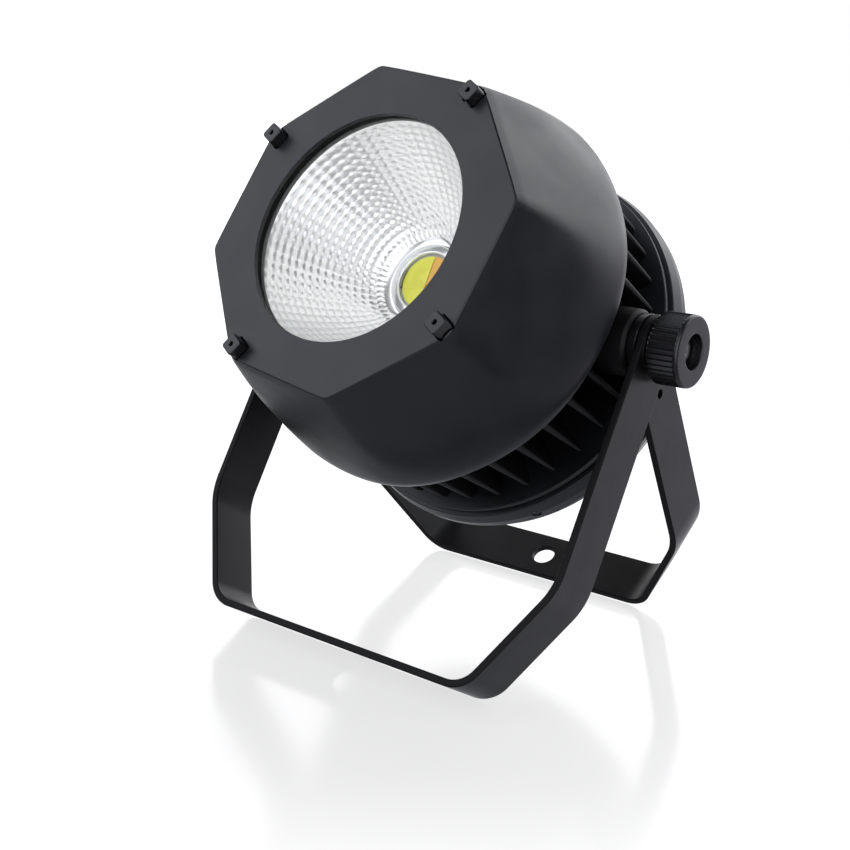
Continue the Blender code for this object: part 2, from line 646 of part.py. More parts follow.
# --- tilt pivots: washers, threaded inserts, knobs ----------------------------------
KNOB_RIBS = 40
RIB_DEPTH = 0.9 * MM
RECESS_R = 8.4 * MM
RECESS_FLOOR = KNOB_OUT_X - 9 * MM


def knob_mesh():
    """Ribbed grip with a plain rim, a deep round recess and its clamp stud."""
    shape = bmesh.new()
    levels = [(KNOB_IN_X, RIB_DEPTH, 0.4 * MM), (KNOB_OUT_X - 2.8 * MM, RIB_DEPTH, 0.0),
              (KNOB_OUT_X - 1.2 * MM, 0.0, 0.2 * MM), (KNOB_OUT_X, 0.0, 1.4 * MM)]
    rings = []
    for x, groove, less in levels:
        ring_verts = []
        for i in range(KNOB_RIBS * 2):
            angle = math.pi * i / KNOB_RIBS
            r = KNOB_R - less - (groove if i % 2 else 0)
            ring_verts.append(shape.verts.new((r * math.cos(angle), r * math.sin(angle), x)))
        rings.append(ring_verts)
    for lower, upper in zip(rings, rings[1:]):
        for i in range(KNOB_RIBS * 2):
            j = (i + 1) % (KNOB_RIBS * 2)
            shape.faces.new((lower[i], lower[j], upper[j], upper[i]))
    shape.faces.new(rings[0][::-1])
    shape.faces.new(rings[-1])
    mesh = bpy.data.meshes.new("knob")
    shape.to_mesh(mesh)
    shape.free()
    return mesh


for side, word in ((1, "right"), (-1, "left")):
    turn = Matrix.Rotation(side * math.pi / 2, 4, "Y")

    def on_axis(name, profile, finish, steps=20):
        return turned(name, profile, finish, HEAD, steps, turn)

    on_axis(f"{word}_threaded_insert", ring(INSERT_R, STUD_R + GAP, 79 * MM, BOSS_X - 0.5 * MM), "brass", 16)
    on_axis(f"{word}_inner_washer", ring(14 * MM, STUD_R + GAP, BOSS_X + GAP, 102.9 * MM), "rubber")
    middle = ring(14 * MM, STUD_R + GAP, REAR_ARM_X + GAP, REAR_ARM_X + 0.8 * MM)
    on_axis(f"{word}_middle_washer", middle, "rubber")
    on_axis(f"{word}_clamp_washer", ring(13 * MM, STUD_R + GAP, FRONT_ARM_X + GAP, KNOB_IN_X - GAP), "steel")
    grip = add_object(f"{word}_knob", knob_mesh(), "black_plastic", HEAD, turn)
    mouth = KNOB_OUT_X + 4 * MM
    recess = [(0, mouth), (RECESS_R, mouth), (RECESS_R, KNOB_OUT_X), (8.0 * MM, RECESS_FLOOR),
              (0, RECESS_FLOOR)]
    cut(grip, turned_mesh("recess", recess, 24))
    cut(grip, turned_mesh("stud_hole", rod(STUD_R + GAP, KNOB_IN_X - 3 * MM, KNOB_IN_X + 14 * MM), 16))
    smooth(grip.data, 25)
    seat = RECESS_FLOOR + GAP
    top = KNOB_OUT_X - 5 * MM
    stud = [(0, top), (6.5 * MM, top), (6.5 * MM, seat), (STUD_R, seat), (STUD_R, 82 * MM), (0, 82 * MM)]
    on_axis(f"{word}_clamp_bolt", stud, "steel", 16)

# safety loop on the rear panel
loop = bpy.data.curves.new("safety_loop", "CURVE")
loop.dimensions = "3D"
loop.bevel_depth = 2.2 * MM
loop.bevel_resolution = 2
loop.use_fill_caps = True
wire = loop.splines.new("POLY")
LOOP_R = 9 * MM
path = [(-LOOP_R, 0)] + arc(0, -LOOP_R, LOOP_R, 180, 360, 10) + [(LOOP_R, 0)]
wire.points.add(len(path) - 1)
for point, (x, z) in zip(wire.points, path):
    point.co = (x, 0, z, 1)
holder = bpy.data.objects.new("safety_loop_path", loop)
cutters.objects.link(holder)
bpy.context.view_layer.update()
mesh = bpy.data.meshes.new_from_object(holder.evaluated_get(bpy.context.evaluated_depsgraph_get()))
bpy.data.objects.remove(holder)
shape = bmesh.new()
shape.from_mesh(mesh)
bmesh.ops.remove_doubles(shape, verts=shape.verts, dist=1e-6)
bmesh.ops.recalc_face_normals(shape, faces=shape.faces)
shape.to_mesh(mesh)
shape.free()
smooth(mesh)
add_object("safety_loop", mesh, "steel", BEAM, at(0, 62 * MM, FLANGE_FACE))

bpy.context.view_layer.update()
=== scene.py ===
"""Looks of the LED par can light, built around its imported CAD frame.

Fine pieces stand for the CAD nodes. The head's pieces are made in the beam frame: Z runs
out of the lens and X is the tilt axis. Lengths are in metres, and MM makes them from mm.
"""

import json
import math

import bmesh
import bpy
from mathutils import Matrix, Vector


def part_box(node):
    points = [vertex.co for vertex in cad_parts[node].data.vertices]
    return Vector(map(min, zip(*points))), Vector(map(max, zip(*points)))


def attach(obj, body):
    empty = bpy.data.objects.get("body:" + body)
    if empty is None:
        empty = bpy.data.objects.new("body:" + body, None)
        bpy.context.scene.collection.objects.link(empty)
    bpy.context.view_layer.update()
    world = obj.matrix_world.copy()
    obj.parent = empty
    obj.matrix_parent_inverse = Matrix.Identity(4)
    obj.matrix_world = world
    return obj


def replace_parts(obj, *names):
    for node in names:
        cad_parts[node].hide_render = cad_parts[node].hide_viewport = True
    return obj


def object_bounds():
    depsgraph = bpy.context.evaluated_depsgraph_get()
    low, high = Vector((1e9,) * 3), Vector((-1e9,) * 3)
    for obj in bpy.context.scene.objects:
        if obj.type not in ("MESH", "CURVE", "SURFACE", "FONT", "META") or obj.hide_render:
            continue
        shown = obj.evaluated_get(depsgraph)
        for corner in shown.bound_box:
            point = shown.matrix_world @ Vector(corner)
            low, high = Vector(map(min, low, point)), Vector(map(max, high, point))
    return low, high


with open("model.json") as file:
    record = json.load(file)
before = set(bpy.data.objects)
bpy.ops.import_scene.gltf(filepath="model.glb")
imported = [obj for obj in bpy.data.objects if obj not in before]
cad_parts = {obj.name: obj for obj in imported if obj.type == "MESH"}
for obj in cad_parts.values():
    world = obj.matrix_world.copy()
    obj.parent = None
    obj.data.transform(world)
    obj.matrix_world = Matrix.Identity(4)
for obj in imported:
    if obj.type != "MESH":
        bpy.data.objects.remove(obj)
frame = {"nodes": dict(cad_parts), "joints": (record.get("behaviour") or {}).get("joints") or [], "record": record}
cad_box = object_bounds()

MM = 0.001
TURN = 2 * math.pi
STEPS = 96                          # sides of a fine turned shape

record = frame["record"]
joints = {joint["name"]: joint for joint in frame["joints"]}
mounts = {mount["name"]: mount for mount in record["mounts"]}
slots = {part["node"]: part["material_slot"] for part in record["subparts"]}
body_of = {node: body for body, nodes in record["behaviour"]["bodies"].items() for node in nodes}


# --- frames of the design, read from the record ---------------------------------------
def axis_frame(origin, z_axis):
    """Frame at origin with Z along z_axis and X along the tilt axis."""
    x_axis = Vector((1, 0, 0))
    z_axis = Vector(z_axis).normalized()
    turn = Matrix((x_axis, z_axis.cross(x_axis), z_axis)).transposed().to_4x4()
    return Matrix.Translation(origin) @ turn


def at(x, y, z=0.0):
    return Matrix.Translation((x, y, z))


def about_z(angle):
    return Matrix.Rotation(angle, 4, "Z")


PIVOT = Vector(joints["head_tilt"]["pos_m"])
TILT = axis_frame(PIVOT, joints["menu_button_1_press"]["axis"])
lens_middle = sum(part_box("lens_glass"), Vector()) / 2
AXIS_RISE = (TILT.inverted() @ lens_middle).y
BEAM = TILT @ at(0, AXIS_RISE)
YOKE_FRAMES = {name: axis_frame(PIVOT, -Vector(mounts[name + "_cross_bar"]["axis"]))
               for name in ("front_yoke", "rear_yoke")}


def local_points(node, place):
    """The corners of a CAD node in a local frame."""
    inverse = place.inverted()
    return [inverse @ v.co for v in frame["nodes"][node].data.vertices]


def span(node, place):
    """Lowest and highest corner of a CAD node in a local frame."""
    points = local_points(node, place)
    low = Vector([min(p[i] for p in points) for i in range(3)])
    high = Vector([max(p[i] for p in points) for i in range(3)])
    return low, high


def turned_size(node, place):
    """Inner and outer radius, lowest and highest z of a turned CAD node."""
    points = local_points(node, place)
    radii = [math.hypot(p.x, p.y) for p in points]
    heights = [p.z for p in points]
    return min(radii), max(radii), min(heights), max(heights)


# --- camera ---------------------------------------------------------------------------
CAMERA_TURN = math.radians(37.48)   # to the light's right
CAMERA_RISE = math.radians(13.82)
CAMERA_ROLL = math.radians(2.13)
CAMERA_AWAY = 673.0 * MM            # from the tilt axis, along the line of sight
CAMERA_ASIDE = -22.0 * MM
CAMERA_DOWN = -56.4 * MM
LENS_MM = 54.57


def make_camera():
    back = Vector((math.sin(CAMERA_TURN) * math.cos(CAMERA_RISE),
                   -math.cos(CAMERA_TURN) * math.cos(CAMERA_RISE), math.sin(CAMERA_RISE)))
    level = Vector((math.cos(CAMERA_TURN), math.sin(CAMERA_TURN), 0))
    turn = Matrix((level, back.cross(level), back)).transposed().to_4x4()
    seen = Matrix.Translation(PIVOT) @ turn @ about_z(CAMERA_ROLL)
    data = bpy.data.cameras.new("camera")
    data.lens = LENS_MM
    data.sensor_width = 36
    data.clip_start = 0.01
    camera = bpy.data.objects.new("camera", data)
    bpy.context.scene.collection.objects.link(camera)
    camera.matrix_world = seen @ at(CAMERA_ASIDE, CAMERA_DOWN, CAMERA_AWAY)
    bpy.context.scene.camera = camera


make_camera()


# --- materials ------------------------------------------------------------------------
def new_material(name):
    """A node material, with its nodes, links and shader."""
    material = bpy.data.materials.new(name)
    material.use_nodes = True
    tree = material.node_tree
    return material, tree.nodes, tree.links, tree.nodes["Principled BSDF"]


def noise(nodes, links, vector, scale, detail=3.0):
    """Output of a noise texture read at a vector output."""
    texture = nodes.new("ShaderNodeTexNoise")
    texture.inputs["Scale"].default_value = scale
    texture.inputs["Detail"].default_value = detail
    links.new(vector, texture.inputs["Vector"])
    return texture.outputs[0]


def ramp(nodes, links, value, low, high, start=0.32, stop=0.68):
    """Colour output that goes from low to high as value goes from start to stop."""
    blend = nodes.new("ShaderNodeValToRGB")
    for element, place, colour in zip(blend.color_ramp.elements, (start, stop), (low, high)):
        element.position = place
        element.color = (*colour, 1)
    links.new(value, blend.inputs[0])
    return blend.outputs[0]


def spread(nodes, links, value, low, high):
    """Value output that goes from low to high over the noise's usual range."""
    reach = nodes.new("ShaderNodeMapRange")
    for name, number in (("From Min", 0.3), ("From Max", 0.7), ("To Min", low), ("To Max", high)):
        reach.inputs[name].default_value = number
    links.new(value, reach.inputs["Value"])
    return reach.outputs[0]


def relief(nodes, links, height, depth, normal=None, strength=0.6):
    """Normal output of a bump that is depth metres deep."""
    bump = nodes.new("ShaderNodeBump")
    bump.inputs["Strength"].default_value = strength
    bump.inputs["Distance"].default_value = depth
    links.new(height, bump.inputs["Height"])
    if normal:
        links.new(normal, bump.inputs["Normal"])
    return bump.outputs["Normal"]


def surface(name, colour, roughness, metallic=0.0, grain=1500, depth=0.02, mottle=45,
            change=0.2, stretch=(1, 1, 1), specular=0.5):
    """A solid finish with a fine grain in its relief and soft patches in colour and gloss."""
    material, nodes, links, shader = new_material(name)
    place = nodes.new("ShaderNodeTexCoord")
    scaled = nodes.new("ShaderNodeMapping")
    scaled.inputs["Scale"].default_value = stretch
    links.new(place.outputs["Object"], scaled.inputs["Vector"])
    vector = scaled.outputs["Vector"]
    patches = noise(nodes, links, vector, mottle, 5.0)
    fine = noise(nodes, links, vector, grain, 2.0)
    dark = tuple(c * (1 - change) for c in colour)
    light = tuple(min(1.0, c * (1 + change)) for c in colour)
    links.new(ramp(nodes, links, patches, dark, light), shader.inputs["Base Color"])
    gloss = spread(nodes, links, patches, roughness - 0.05, roughness + 0.05)
    links.new(gloss, shader.inputs["Roughness"])
    coarse = relief(nodes, links, noise(nodes, links, vector, grain / 4, 2.0), depth * MM * 1.5)
    links.new(relief(nodes, links, fine, depth * MM, coarse), shader.inputs["Normal"])
    shader.inputs["Metallic"].default_value = metallic
    shader.inputs["Specular IOR Level"].default_value = specular
    return material


COATED_IOR = 1.12                   # a coated pane reflects little


def glass(name, tint, roughness):
    """A clear pane with faint smears."""
    material, nodes, links, shader = new_material(name)
    place = nodes.new("ShaderNodeTexCoord")
    smears = noise(nodes, links, place.outputs["Object"], 60, 6.0)
    links.new(spread(nodes, links, smears, roughness, roughness + 0.008), shader.inputs["Roughness"])
    darker = tuple(c * 0.985 for c in tint)
    links.new(ramp(nodes, links, smears, darker, tint), shader.inputs["Base Color"])
    shader.inputs["Transmission Weight"].default_value = 1.0
    shader.inputs["IOR"].default_value = COATED_IOR
    return material


def circuit(name, board, trace):
    """A circuit board: cells of copper under a green mask."""
    material, nodes, links, shader = new_material(name)
    place = nodes.new("ShaderNodeTexCoord")
    cells = nodes.new("ShaderNodeTexVoronoi")
    cells.inputs["Scale"].default_value = 260
    links.new(place.outputs["Object"], cells.inputs["Vector"])
    pads = cells.outputs["Distance"]
    links.new(ramp(nodes, links, pads, trace, board, 0.18, 0.24), shader.inputs["Base Color"])
    links.new(relief(nodes, links, pads, 0.05 * MM), shader.inputs["Normal"])
    shader.inputs["Roughness"].default_value = 0.4
    return material


yoke_paint = surface("yoke_powder_coat", (0.003, 0.003, 0.004), 0.38, grain=1300, depth=0.03,
                     specular=0.45)
# painted shade: a duller, less glossy copy of the yoke paint that darkens the bar's edges
yoke_edge_shade = surface("yoke_edge_painted_shade_coat", (0.005, 0.005, 0.006), 0.50, grain=1300, depth=0.03,
                    specular=0.14)
black_paint = surface("satin_powder_coat", (0.008, 0.009, 0.012), 0.40, grain=1700, depth=0.018)
black_cast = surface("die_cast_black", (0.006, 0.006, 0.007), 0.52, grain=900, depth=0.05,
                     specular=0.18)
black_plastic = surface("moulded_black_plastic", (0.008, 0.008, 0.010), 0.27, grain=2400,
                        depth=0.015)
dark_tube = surface("matte_black_tube", (0.002, 0.002, 0.002), 0.70, grain=1200, depth=0.03,
                    specular=0.03)
rubber = surface("black_rubber", (0.005, 0.005, 0.005), 0.55, grain=1600, depth=0.03, change=0.3,
                 specular=0.12)
steel = surface("zinc_plated_steel", (0.62, 0.62, 0.63), 0.30, 1.0, 900, 0.01, 120, 0.12, (1, 1, 6))
dark_steel = surface("black_steel_bolt", (0.30, 0.30, 0.31), 0.38, 1.0, 900, 0.015, 120, 0.2)
brass = surface("turned_brass", (0.72, 0.52, 0.24), 0.28, 1.0, 900, 0.01, 120, 0.12, (1, 1, 6))
mirror = surface("metallised_reflector", (0.94, 0.95, 0.94), 0.07, 0.55, 700, 0.002, 40, 0.02,
                 specular=0.8)
ceramic = surface("white_ceramic", (0.62, 0.63, 0.65), 0.35, grain=2500, depth=0.008, change=0.04)
cool_phosphor = surface("cool_phosphor", (0.94, 0.92, 0.10), 0.30, grain=2600, change=0.08)
warm_phosphor = surface("warm_phosphor", (0.98, 0.52, 0.10), 0.30, grain=2600, change=0.08)
component = surface("dark_component", (0.035, 0.035, 0.042), 0.45, grain=1100)
liquid_crystal = surface("display_cell", (0.05, 0.08, 0.09), 0.18, grain=1800, depth=0.004,
                         change=0.3, stretch=(1, 8, 1))
clear_glass = glass("clear_glass", (0.99, 0.99, 0.99), 0.0)
smoked_glass = glass("smoked_glass", (0.25, 0.27, 0.30), 0.02)
green_board = circuit("green_board", (0.02, 0.12, 0.05), (0.10, 0.30, 0.12))


# --- mesh tools -----------------------------------------------------------------------
def skin(rows, closed=False):
    """Mesh over rows of points; the ends are capped unless the last row meets the first."""
    shape = bmesh.new()
    rings = [[shape.verts.new(p) for p in row] for row in rows]
    pairs = list(zip(rings, rings[1:]))
    if closed:
        pairs.append((rings[-1], rings[0]))
    else:
        shape.faces.new(rings[0][::-1])
        shape.faces.new(rings[-1])
    count = len(rings[0])
    for one, two in pairs:
        for i in range(count):
            j = (i + 1) % count
            shape.faces.new((one[i], one[j], two[j], two[i]))
    bmesh.ops.recalc_face_normals(shape, faces=shape.faces)
    mesh = bpy.data.meshes.new("skin")
    shape.to_mesh(mesh)
    shape.free()
    return mesh


def turned(profile, steps=STEPS, closed=False):
    """Mesh of (radius, z) turned about Z. A radius may be a function of the angle, and
    points on the axis are left out: the flat end there is one face."""
    turns = [TURN * i / steps for i in range(steps)]
    rows = []
    for radius, z in profile:
        if not callable(radius) and radius < 1e-9:
            continue
        radii = [radius(a) if callable(radius) else radius for a in turns]
        rows.append([(r * math.cos(a), r * math.sin(a), z) for r, a in zip(radii, turns)])
    return skin(rows, closed)


def softened(profile, radius, closed=False, steps=3):
    """The profile with rounded corners; beside a short edge the rounding is smaller."""
    points = [Vector(p) for p in profile]
    count = len(points)
    soft = []
    for i, corner in enumerate(points):
        before = points[i - 1] - corner
        after = points[(i + 1) % count] - corner
        at_end = not closed and i in (0, count - 1)
        if at_end or before.angle(after) > math.radians(172):
            soft.append(corner)
            continue
        half = before.angle(after) / 2
        reach = min(radius / math.tan(half), before.length * 0.45, after.length * 0.45)
        one = corner + before.normalized() * reach
        two = corner + after.normalized() * reach
        for k in range(steps + 1):
            t = k / steps
            soft.append(one * (1 - t) ** 2 + corner * 2 * t * (1 - t) + two * t ** 2)
    return [tuple(p) for p in soft]


def prism(outline, low, high):
    """Mesh of a flat outline in XY from low to high."""
    return skin([[(x, y, z) for x, y in outline] for z in (low, high)])


def arc(cx, cy, r, start, stop, steps):
    """Points on an arc, angles in degrees."""
    turns = [math.radians(start + (stop - start) * i / steps) for i in range(steps + 1)]
    return [(cx + r * math.cos(a), cy + r * math.sin(a)) for a in turns]


def rounded_rectangle(low, high, r, steps=6):
    """Outline from low to high corner with corners of radius r."""
    corners = [(high[0] - r, high[1] - r, 0), (low[0] + r, high[1] - r, 90),
               (low[0] + r, low[1] + r, 180), (high[0] - r, low[1] + r, 270)]
    return [p for cx, cy, start in corners for p in arc(cx, cy, r, start, start + 90, steps)]


def joined(meshes):
    """One mesh from several."""
    shape = bmesh.new()
    for mesh in meshes:
        shape.from_mesh(mesh)
    whole = bpy.data.meshes.new("joined")
    shape.to_mesh(whole)
    shape.free()
    return whole


def moved(mesh, matrix):
    mesh.transform(matrix)
    return mesh


def modified(mesh, kind, **settings):
    """The mesh after one modifier."""
    holder = bpy.data.objects.new("working", mesh)
    bpy.context.scene.collection.objects.link(holder)
    modifier = holder.modifiers.new("step", kind)
    for name, value in settings.items():
        setattr(modifier, name, value)
    bpy.context.view_layer.update()
    graph = bpy.context.evaluated_depsgraph_get()
    result = bpy.data.meshes.new_from_object(holder.evaluated_get(graph))
    bpy.data.objects.remove(holder)
    return result


def bevelled(mesh, width, segments=3, degrees=40):
    return modified(mesh, "BEVEL", width=width, segments=segments, limit_method="ANGLE",
                    angle_limit=math.radians(degrees))


def carved(mesh, tool, operation="DIFFERENCE"):
    """The mesh after a Boolean with another mesh."""
    cutter = bpy.data.objects.new("cutter", tool)
    bpy.context.scene.collection.objects.link(cutter)
    result = modified(mesh, "BOOLEAN", object=cutter, operation=operation, solver="EXACT")
    bpy.data.objects.remove(cutter)
    return result


def rod_profile(r, low, high, edge):
    return softened([(0, low), (r, low), (r, high), (0, high)], edge)


def ring_profile(r_in, r_out, low, high, edge):
    return softened([(r_in, low), (r_out, low), (r_out, high), (r_in, high)], edge, closed=True)


def rod(r, low, high, steps=24):
    """A plain rod, for holes and small pins."""
    return turned([(r, low), (r, high)], steps)


def add_piece(name, mesh, finish, place, body, slot, sharp=34):
    """A visible piece that rides on a body; its place is put into a copy of its mesh."""
    mesh = mesh.copy()
    mesh.transform(place)
    if not mesh.materials:
        mesh.materials.append(finish)
    mesh.name = name
    mesh.shade_smooth()
    mesh.set_sharp_from_angle(angle=math.radians(sharp))
    piece = bpy.data.objects.new(name, mesh)
    bpy.context.scene.collection.objects.link(piece)
    piece.modifiers.new("flat_faces", "WEIGHTED_NORMAL").keep_sharp = True
    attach(piece, body)
    return piece


def stand_for(node, mesh, finish, place=BEAM, sharp=34):
    """A fine piece in the place of one CAD node."""
    piece = add_piece(node + "_piece", mesh, finish, place, body_of[node], slots[node], sharp)
    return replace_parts(piece, node)


def fine_turned(node, finish, place=BEAM, edge=0.2 * MM, steps=STEPS):
    """A plain turned CAD node, rounder and with soft edges."""
    r_in, r_out, low, high = turned_size(node, place)
    if r_out - r_in < 0.1 * MM:     # a disc has no inner corners
        mesh = turned(rod_profile(r_out, low, high, edge), steps)
    else:
        mesh = turned(ring_profile(r_in, r_out, low, high, edge), steps, closed=True)
    return stand_for(node, mesh, finish, place)


# --- yokes ----------------------------------------------------------------------------
ARM_BEND = 36 * MM
FOOT_BEND = 18 * MM
YOKE_SHAPES = {
    # name: (depth at which the arms slant in, half width of the cross bar, arm hole depth)
    "front_yoke": (126.0 * MM, 81.4 * MM, None),
    "rear_yoke": (123.0 * MM, 74.3 * MM, 30.0 * MM),
}
BAR_T = 3.7 * MM
BAR_EDGE = 0.7 * MM
CLAMP_HOLE_R = 6.6 * MM
PIVOT_HOLE_R = 4.3 * MM
ARM_HOLE_R = 2.5 * MM
HOLE_CHAMFER = 0.5 * MM


def bent_path(corners, radii, steps=14):
    """An open path whose inner corners are arcs, with the outward normal at each point."""
    path = [Vector(corners[0])]
    for before, corner, after, radius in zip(corners, corners[1:], corners[2:], radii):
        corner = Vector(corner)
        one = (Vector(before) - corner).normalized()
        two = (Vector(after) - corner).normalized()
        half = one.angle(two) / 2
        centre = corner + (one + two).normalized() * radius / math.sin(half)
        start = (corner + one * radius / math.tan(half) - centre).normalized()
        stop = (corner + two * radius / math.tan(half) - centre).normalized()
        path += [centre + radius * start.slerp(stop, i / steps) for i in range(steps + 1)]
    path.append(Vector(corners[-1]))
    return path


def bar_section(point, normal, half_width):
    """Rounded rectangle across the bar: normal points to its outer face."""
    edge = min(BAR_EDGE, half_width * 0.9)
    section = rounded_rectangle((-BAR_T, -half_width), (0, half_width), edge, 4)
    return [(point.x + n * normal.x, y, point.y + n * normal.y) for n, y in section]


def yoke_mesh(name):
    """The bent bar with its round ends and holes; its edges get a duller copy of the paint as painted shade."""
    bend_z, bar_x, side_hole = YOKE_SHAPES[name]
    low, high = span(name, YOKE_FRAMES[name])
    arm_x, reach, half = high.x, -low.z, high.y
    corners = [(arm_x, 0), (arm_x, -bend_z), (bar_x, -reach)]
    corners += [(-x, z) for x, z in reversed(corners)]
    path = bent_path(corners, [ARM_BEND, FOOT_BEND, FOOT_BEND, ARM_BEND])
    tangents = [(b - a).normalized() for a, b in zip([path[0]] + path, path[1:] + [path[-1]])]
    rows = []
    around_end = [math.radians(86 - 6 * i) for i in range(14)]
    for a in around_end:
        middle = Vector((arm_x, half * math.sin(a)))
        rows.append(bar_section(middle, Vector((1, 0)), half * math.cos(a)))
    for point, tangent in zip(path, tangents):
        rows.append(bar_section(point, Vector((-tangent.y, tangent.x)), half))
    for a in reversed(around_end):
        middle = Vector((-arm_x, half * math.sin(a)))
        rows.append(bar_section(middle, Vector((-1, 0)), half * math.cos(a)))
    bar = skin(rows)
    along_x = Matrix.Rotation(math.pi / 2, 4, "Y")
    holes = [moved(rod(PIVOT_HOLE_R, -2 * arm_x, 2 * arm_x, 32), along_x)]
    wide = CLAMP_HOLE_R + 2 * HOLE_CHAMFER
    inner_face = BAR_T - reach
    holes.append(turned([(wide, -reach - HOLE_CHAMFER), (CLAMP_HOLE_R, -reach + HOLE_CHAMFER),
                         (CLAMP_HOLE_R, inner_face - HOLE_CHAMFER),
                         (wide, inner_face + HOLE_CHAMFER)], 40))
    if side_hole:
        holes.append(moved(rod(ARM_HOLE_R, -2 * arm_x, 2 * arm_x), at(0, 0, -side_hole) @ along_x))
    whole = carved(bar, joined(holes))
    whole.materials.clear()
    for finish in (yoke_paint, yoke_edge_shade):
        whole.materials.append(finish)
    # faces across the bar's thickness take the duller copy, as painted shade on the edges
    for face in whole.polygons:
        face.material_index = 1 if abs(face.normal.y) > 0.5 else 0
    return whole


for name, place in YOKE_FRAMES.items():
    stand_for(name, yoke_mesh(name), yoke_paint, place)


# --- hood and its four catches --------------------------------------------------------
SIDES = 8
OCTAGON_TURN = math.radians(13.5)   # a corner of the octagon from the tilt axis
FLAT_R = 79.0 * MM                  # to the middle of a side, at the face
FLAT_SLOPE = 0.362
CUP_R = 103.6 * MM
CUP_DRAFT = 15.0 * MM
SOFTNESS = 2.2 * MM                 # how softly the flats run into the cup
LIP_TUCK = 1.2 * MM
LIP_DEPTH = 7.0 * MM
APERTURE_R = 57.2 * MM
HOOD_WALL = 2.4 * MM
HOOD_EDGE = 1.1 * MM
LIP_EDGE = 0.7 * MM
HOOD_LOW = span("hood", BEAM)[0].z
FACE_Z = span("hood", BEAM)[1].z
CLIP_TURNS = [OCTAGON_TURN + math.radians(45 + 90 * k) for k in range(4)]
CLIP_R = sum(corner.x for corner in span("accessory_clip_1", BEAM @ about_z(CLIP_TURNS[0]))) / 2
CLIP_CORNER = 1.6 * MM
CLIP_HOLE_R = 1.1 * MM
WINDOW_GAP = 0.6 * MM


def hood_radius(angle, z):
    """Outer radius of the hood: a soft round cup cut by eight flat sides."""
    from_middle = (angle - OCTAGON_TURN) % (TURN / SIDES) - math.pi / SIDES
    flat = (FLAT_R + FLAT_SLOPE * (FACE_Z - z)) / math.cos(from_middle)
    depth = min(1.0, max(0.0, (z - HOOD_LOW) / (FACE_Z - HOOD_LOW)))
    cup = CUP_R - CUP_DRAFT * depth ** 1.3
    tuck = LIP_TUCK * max(0.0, 1 - (z - HOOD_LOW) / LIP_DEPTH) ** 2
    soft = SOFTNESS * math.log(math.exp(-flat / SOFTNESS) + math.exp(-cup / SOFTNESS))
    return -soft - tuck


def hood_mesh():
    """Loft round the whole wall: aperture, face, sides, lip and back up inside."""
    def side(z, less=0.0):
        return lambda angle: hood_radius(angle, z) - less

    low, high = HOOD_LOW + LIP_EDGE, FACE_Z - HOOD_EDGE
    rows = [(APERTURE_R, FACE_Z - HOOD_WALL + 0.3 * MM), (APERTURE_R, FACE_Z - 0.5 * MM),
            (APERTURE_R + 0.15 * MM, FACE_Z - 0.15 * MM), (APERTURE_R + 0.5 * MM, FACE_Z)]
    rows.append((side(FACE_Z, 12 * MM), FACE_Z))
    for k in range(5):
        a = math.radians(90 - 22.5 * k)
        rows.append((side(FACE_Z, HOOD_EDGE * (1 - math.cos(a))), high + HOOD_EDGE * math.sin(a)))
    outside = [high + (low - high) * k / 30 for k in range(1, 31)]
    rows += [(side(z), z) for z in outside]
    rows += [(side(low, LIP_EDGE * 0.3), HOOD_LOW + LIP_EDGE * 0.3), (side(low, LIP_EDGE), HOOD_LOW)]
    inner = HOOD_WALL / math.cos(math.atan(FLAT_SLOPE))
    rows += [(side(low, inner - LIP_EDGE), HOOD_LOW), (side(low, inner), low)]
    ceiling = FACE_Z - HOOD_WALL
    inside = [low + (ceiling - low) * k / 12 for k in range(1, 13)]
    rows += [(side(z, inner), z) for z in inside]
    rows.append((APERTURE_R + 0.3 * MM, ceiling))
    return turned(rows, SIDES * 28, closed=True)


def clip_place(turn):
    return about_z(turn) @ at(CLIP_R, 0)


def clip_box(node):
    """Low and high corner of a catch in its own frame."""
    number = int(node[-1])
    return span(node, BEAM @ clip_place(CLIP_TURNS[number - 1]))


def make_hood():
    """The hood with a notch for each catch, and the catches with their screw holes."""
    low, high = clip_box("accessory_clip_1")
    gap = Vector((WINDOW_GAP, WINDOW_GAP))
    outline = rounded_rectangle(low.xy - gap, high.xy + gap, CLIP_CORNER)
    windows = [moved(prism(outline, FACE_Z - 12 * MM, FACE_Z + 5 * MM), clip_place(turn))
               for turn in CLIP_TURNS]
    stand_for("hood", carved(hood_mesh(), joined(windows)), black_paint)
    for number, turn in enumerate(CLIP_TURNS, 1):
        node = f"accessory_clip_{number}"
        low, high = clip_box(node)
        outline = rounded_rectangle(low, high, CLIP_CORNER)
        clip = bevelled(prism(outline, low.z, high.z), 0.6 * MM, 3, 60)
        hole = turned([(CLIP_HOLE_R, high.z - 5 * MM), (CLIP_HOLE_R, high.z - 0.3 * MM),
                       (CLIP_HOLE_R + 0.8 * MM, high.z + 0.5 * MM)], 24)
        stand_for(node, carved(clip, hole), black_plastic, BEAM @ clip_place(turn))


make_hood()


# --- lens, reflector and LED ----------------------------------------------------------
fine_turned("lens_gasket", rubber, edge=0.5 * MM, steps=144)
fine_turned("lens_glass", clear_glass, edge=0.3 * MM, steps=144)
fine_turned("inner_barrel", dark_tube, edge=0.3 * MM, steps=144)

FACETS_AROUND = 60
FACET_ROWS = 16
FACET_CELLS = 4                     # mesh steps across one facet
FACET_SWELL = 0.42 * MM
NECK_R = 20.5 * MM
RIM_R = 58.6 * MM
BOWL_POWER = 0.62
REFLECTOR_WALL = 1.2 * MM
LED_R = 14 * MM
TONGUE_SPAN = 18                    # degrees each way


def bowl_point(t, low, high):
    """Radius and z on the bowl, from its neck at t = 0 to its rim at t = 1."""
    return Vector((NECK_R + (RIM_R - NECK_R) * t ** BOWL_POWER, low + (high - low) * t))


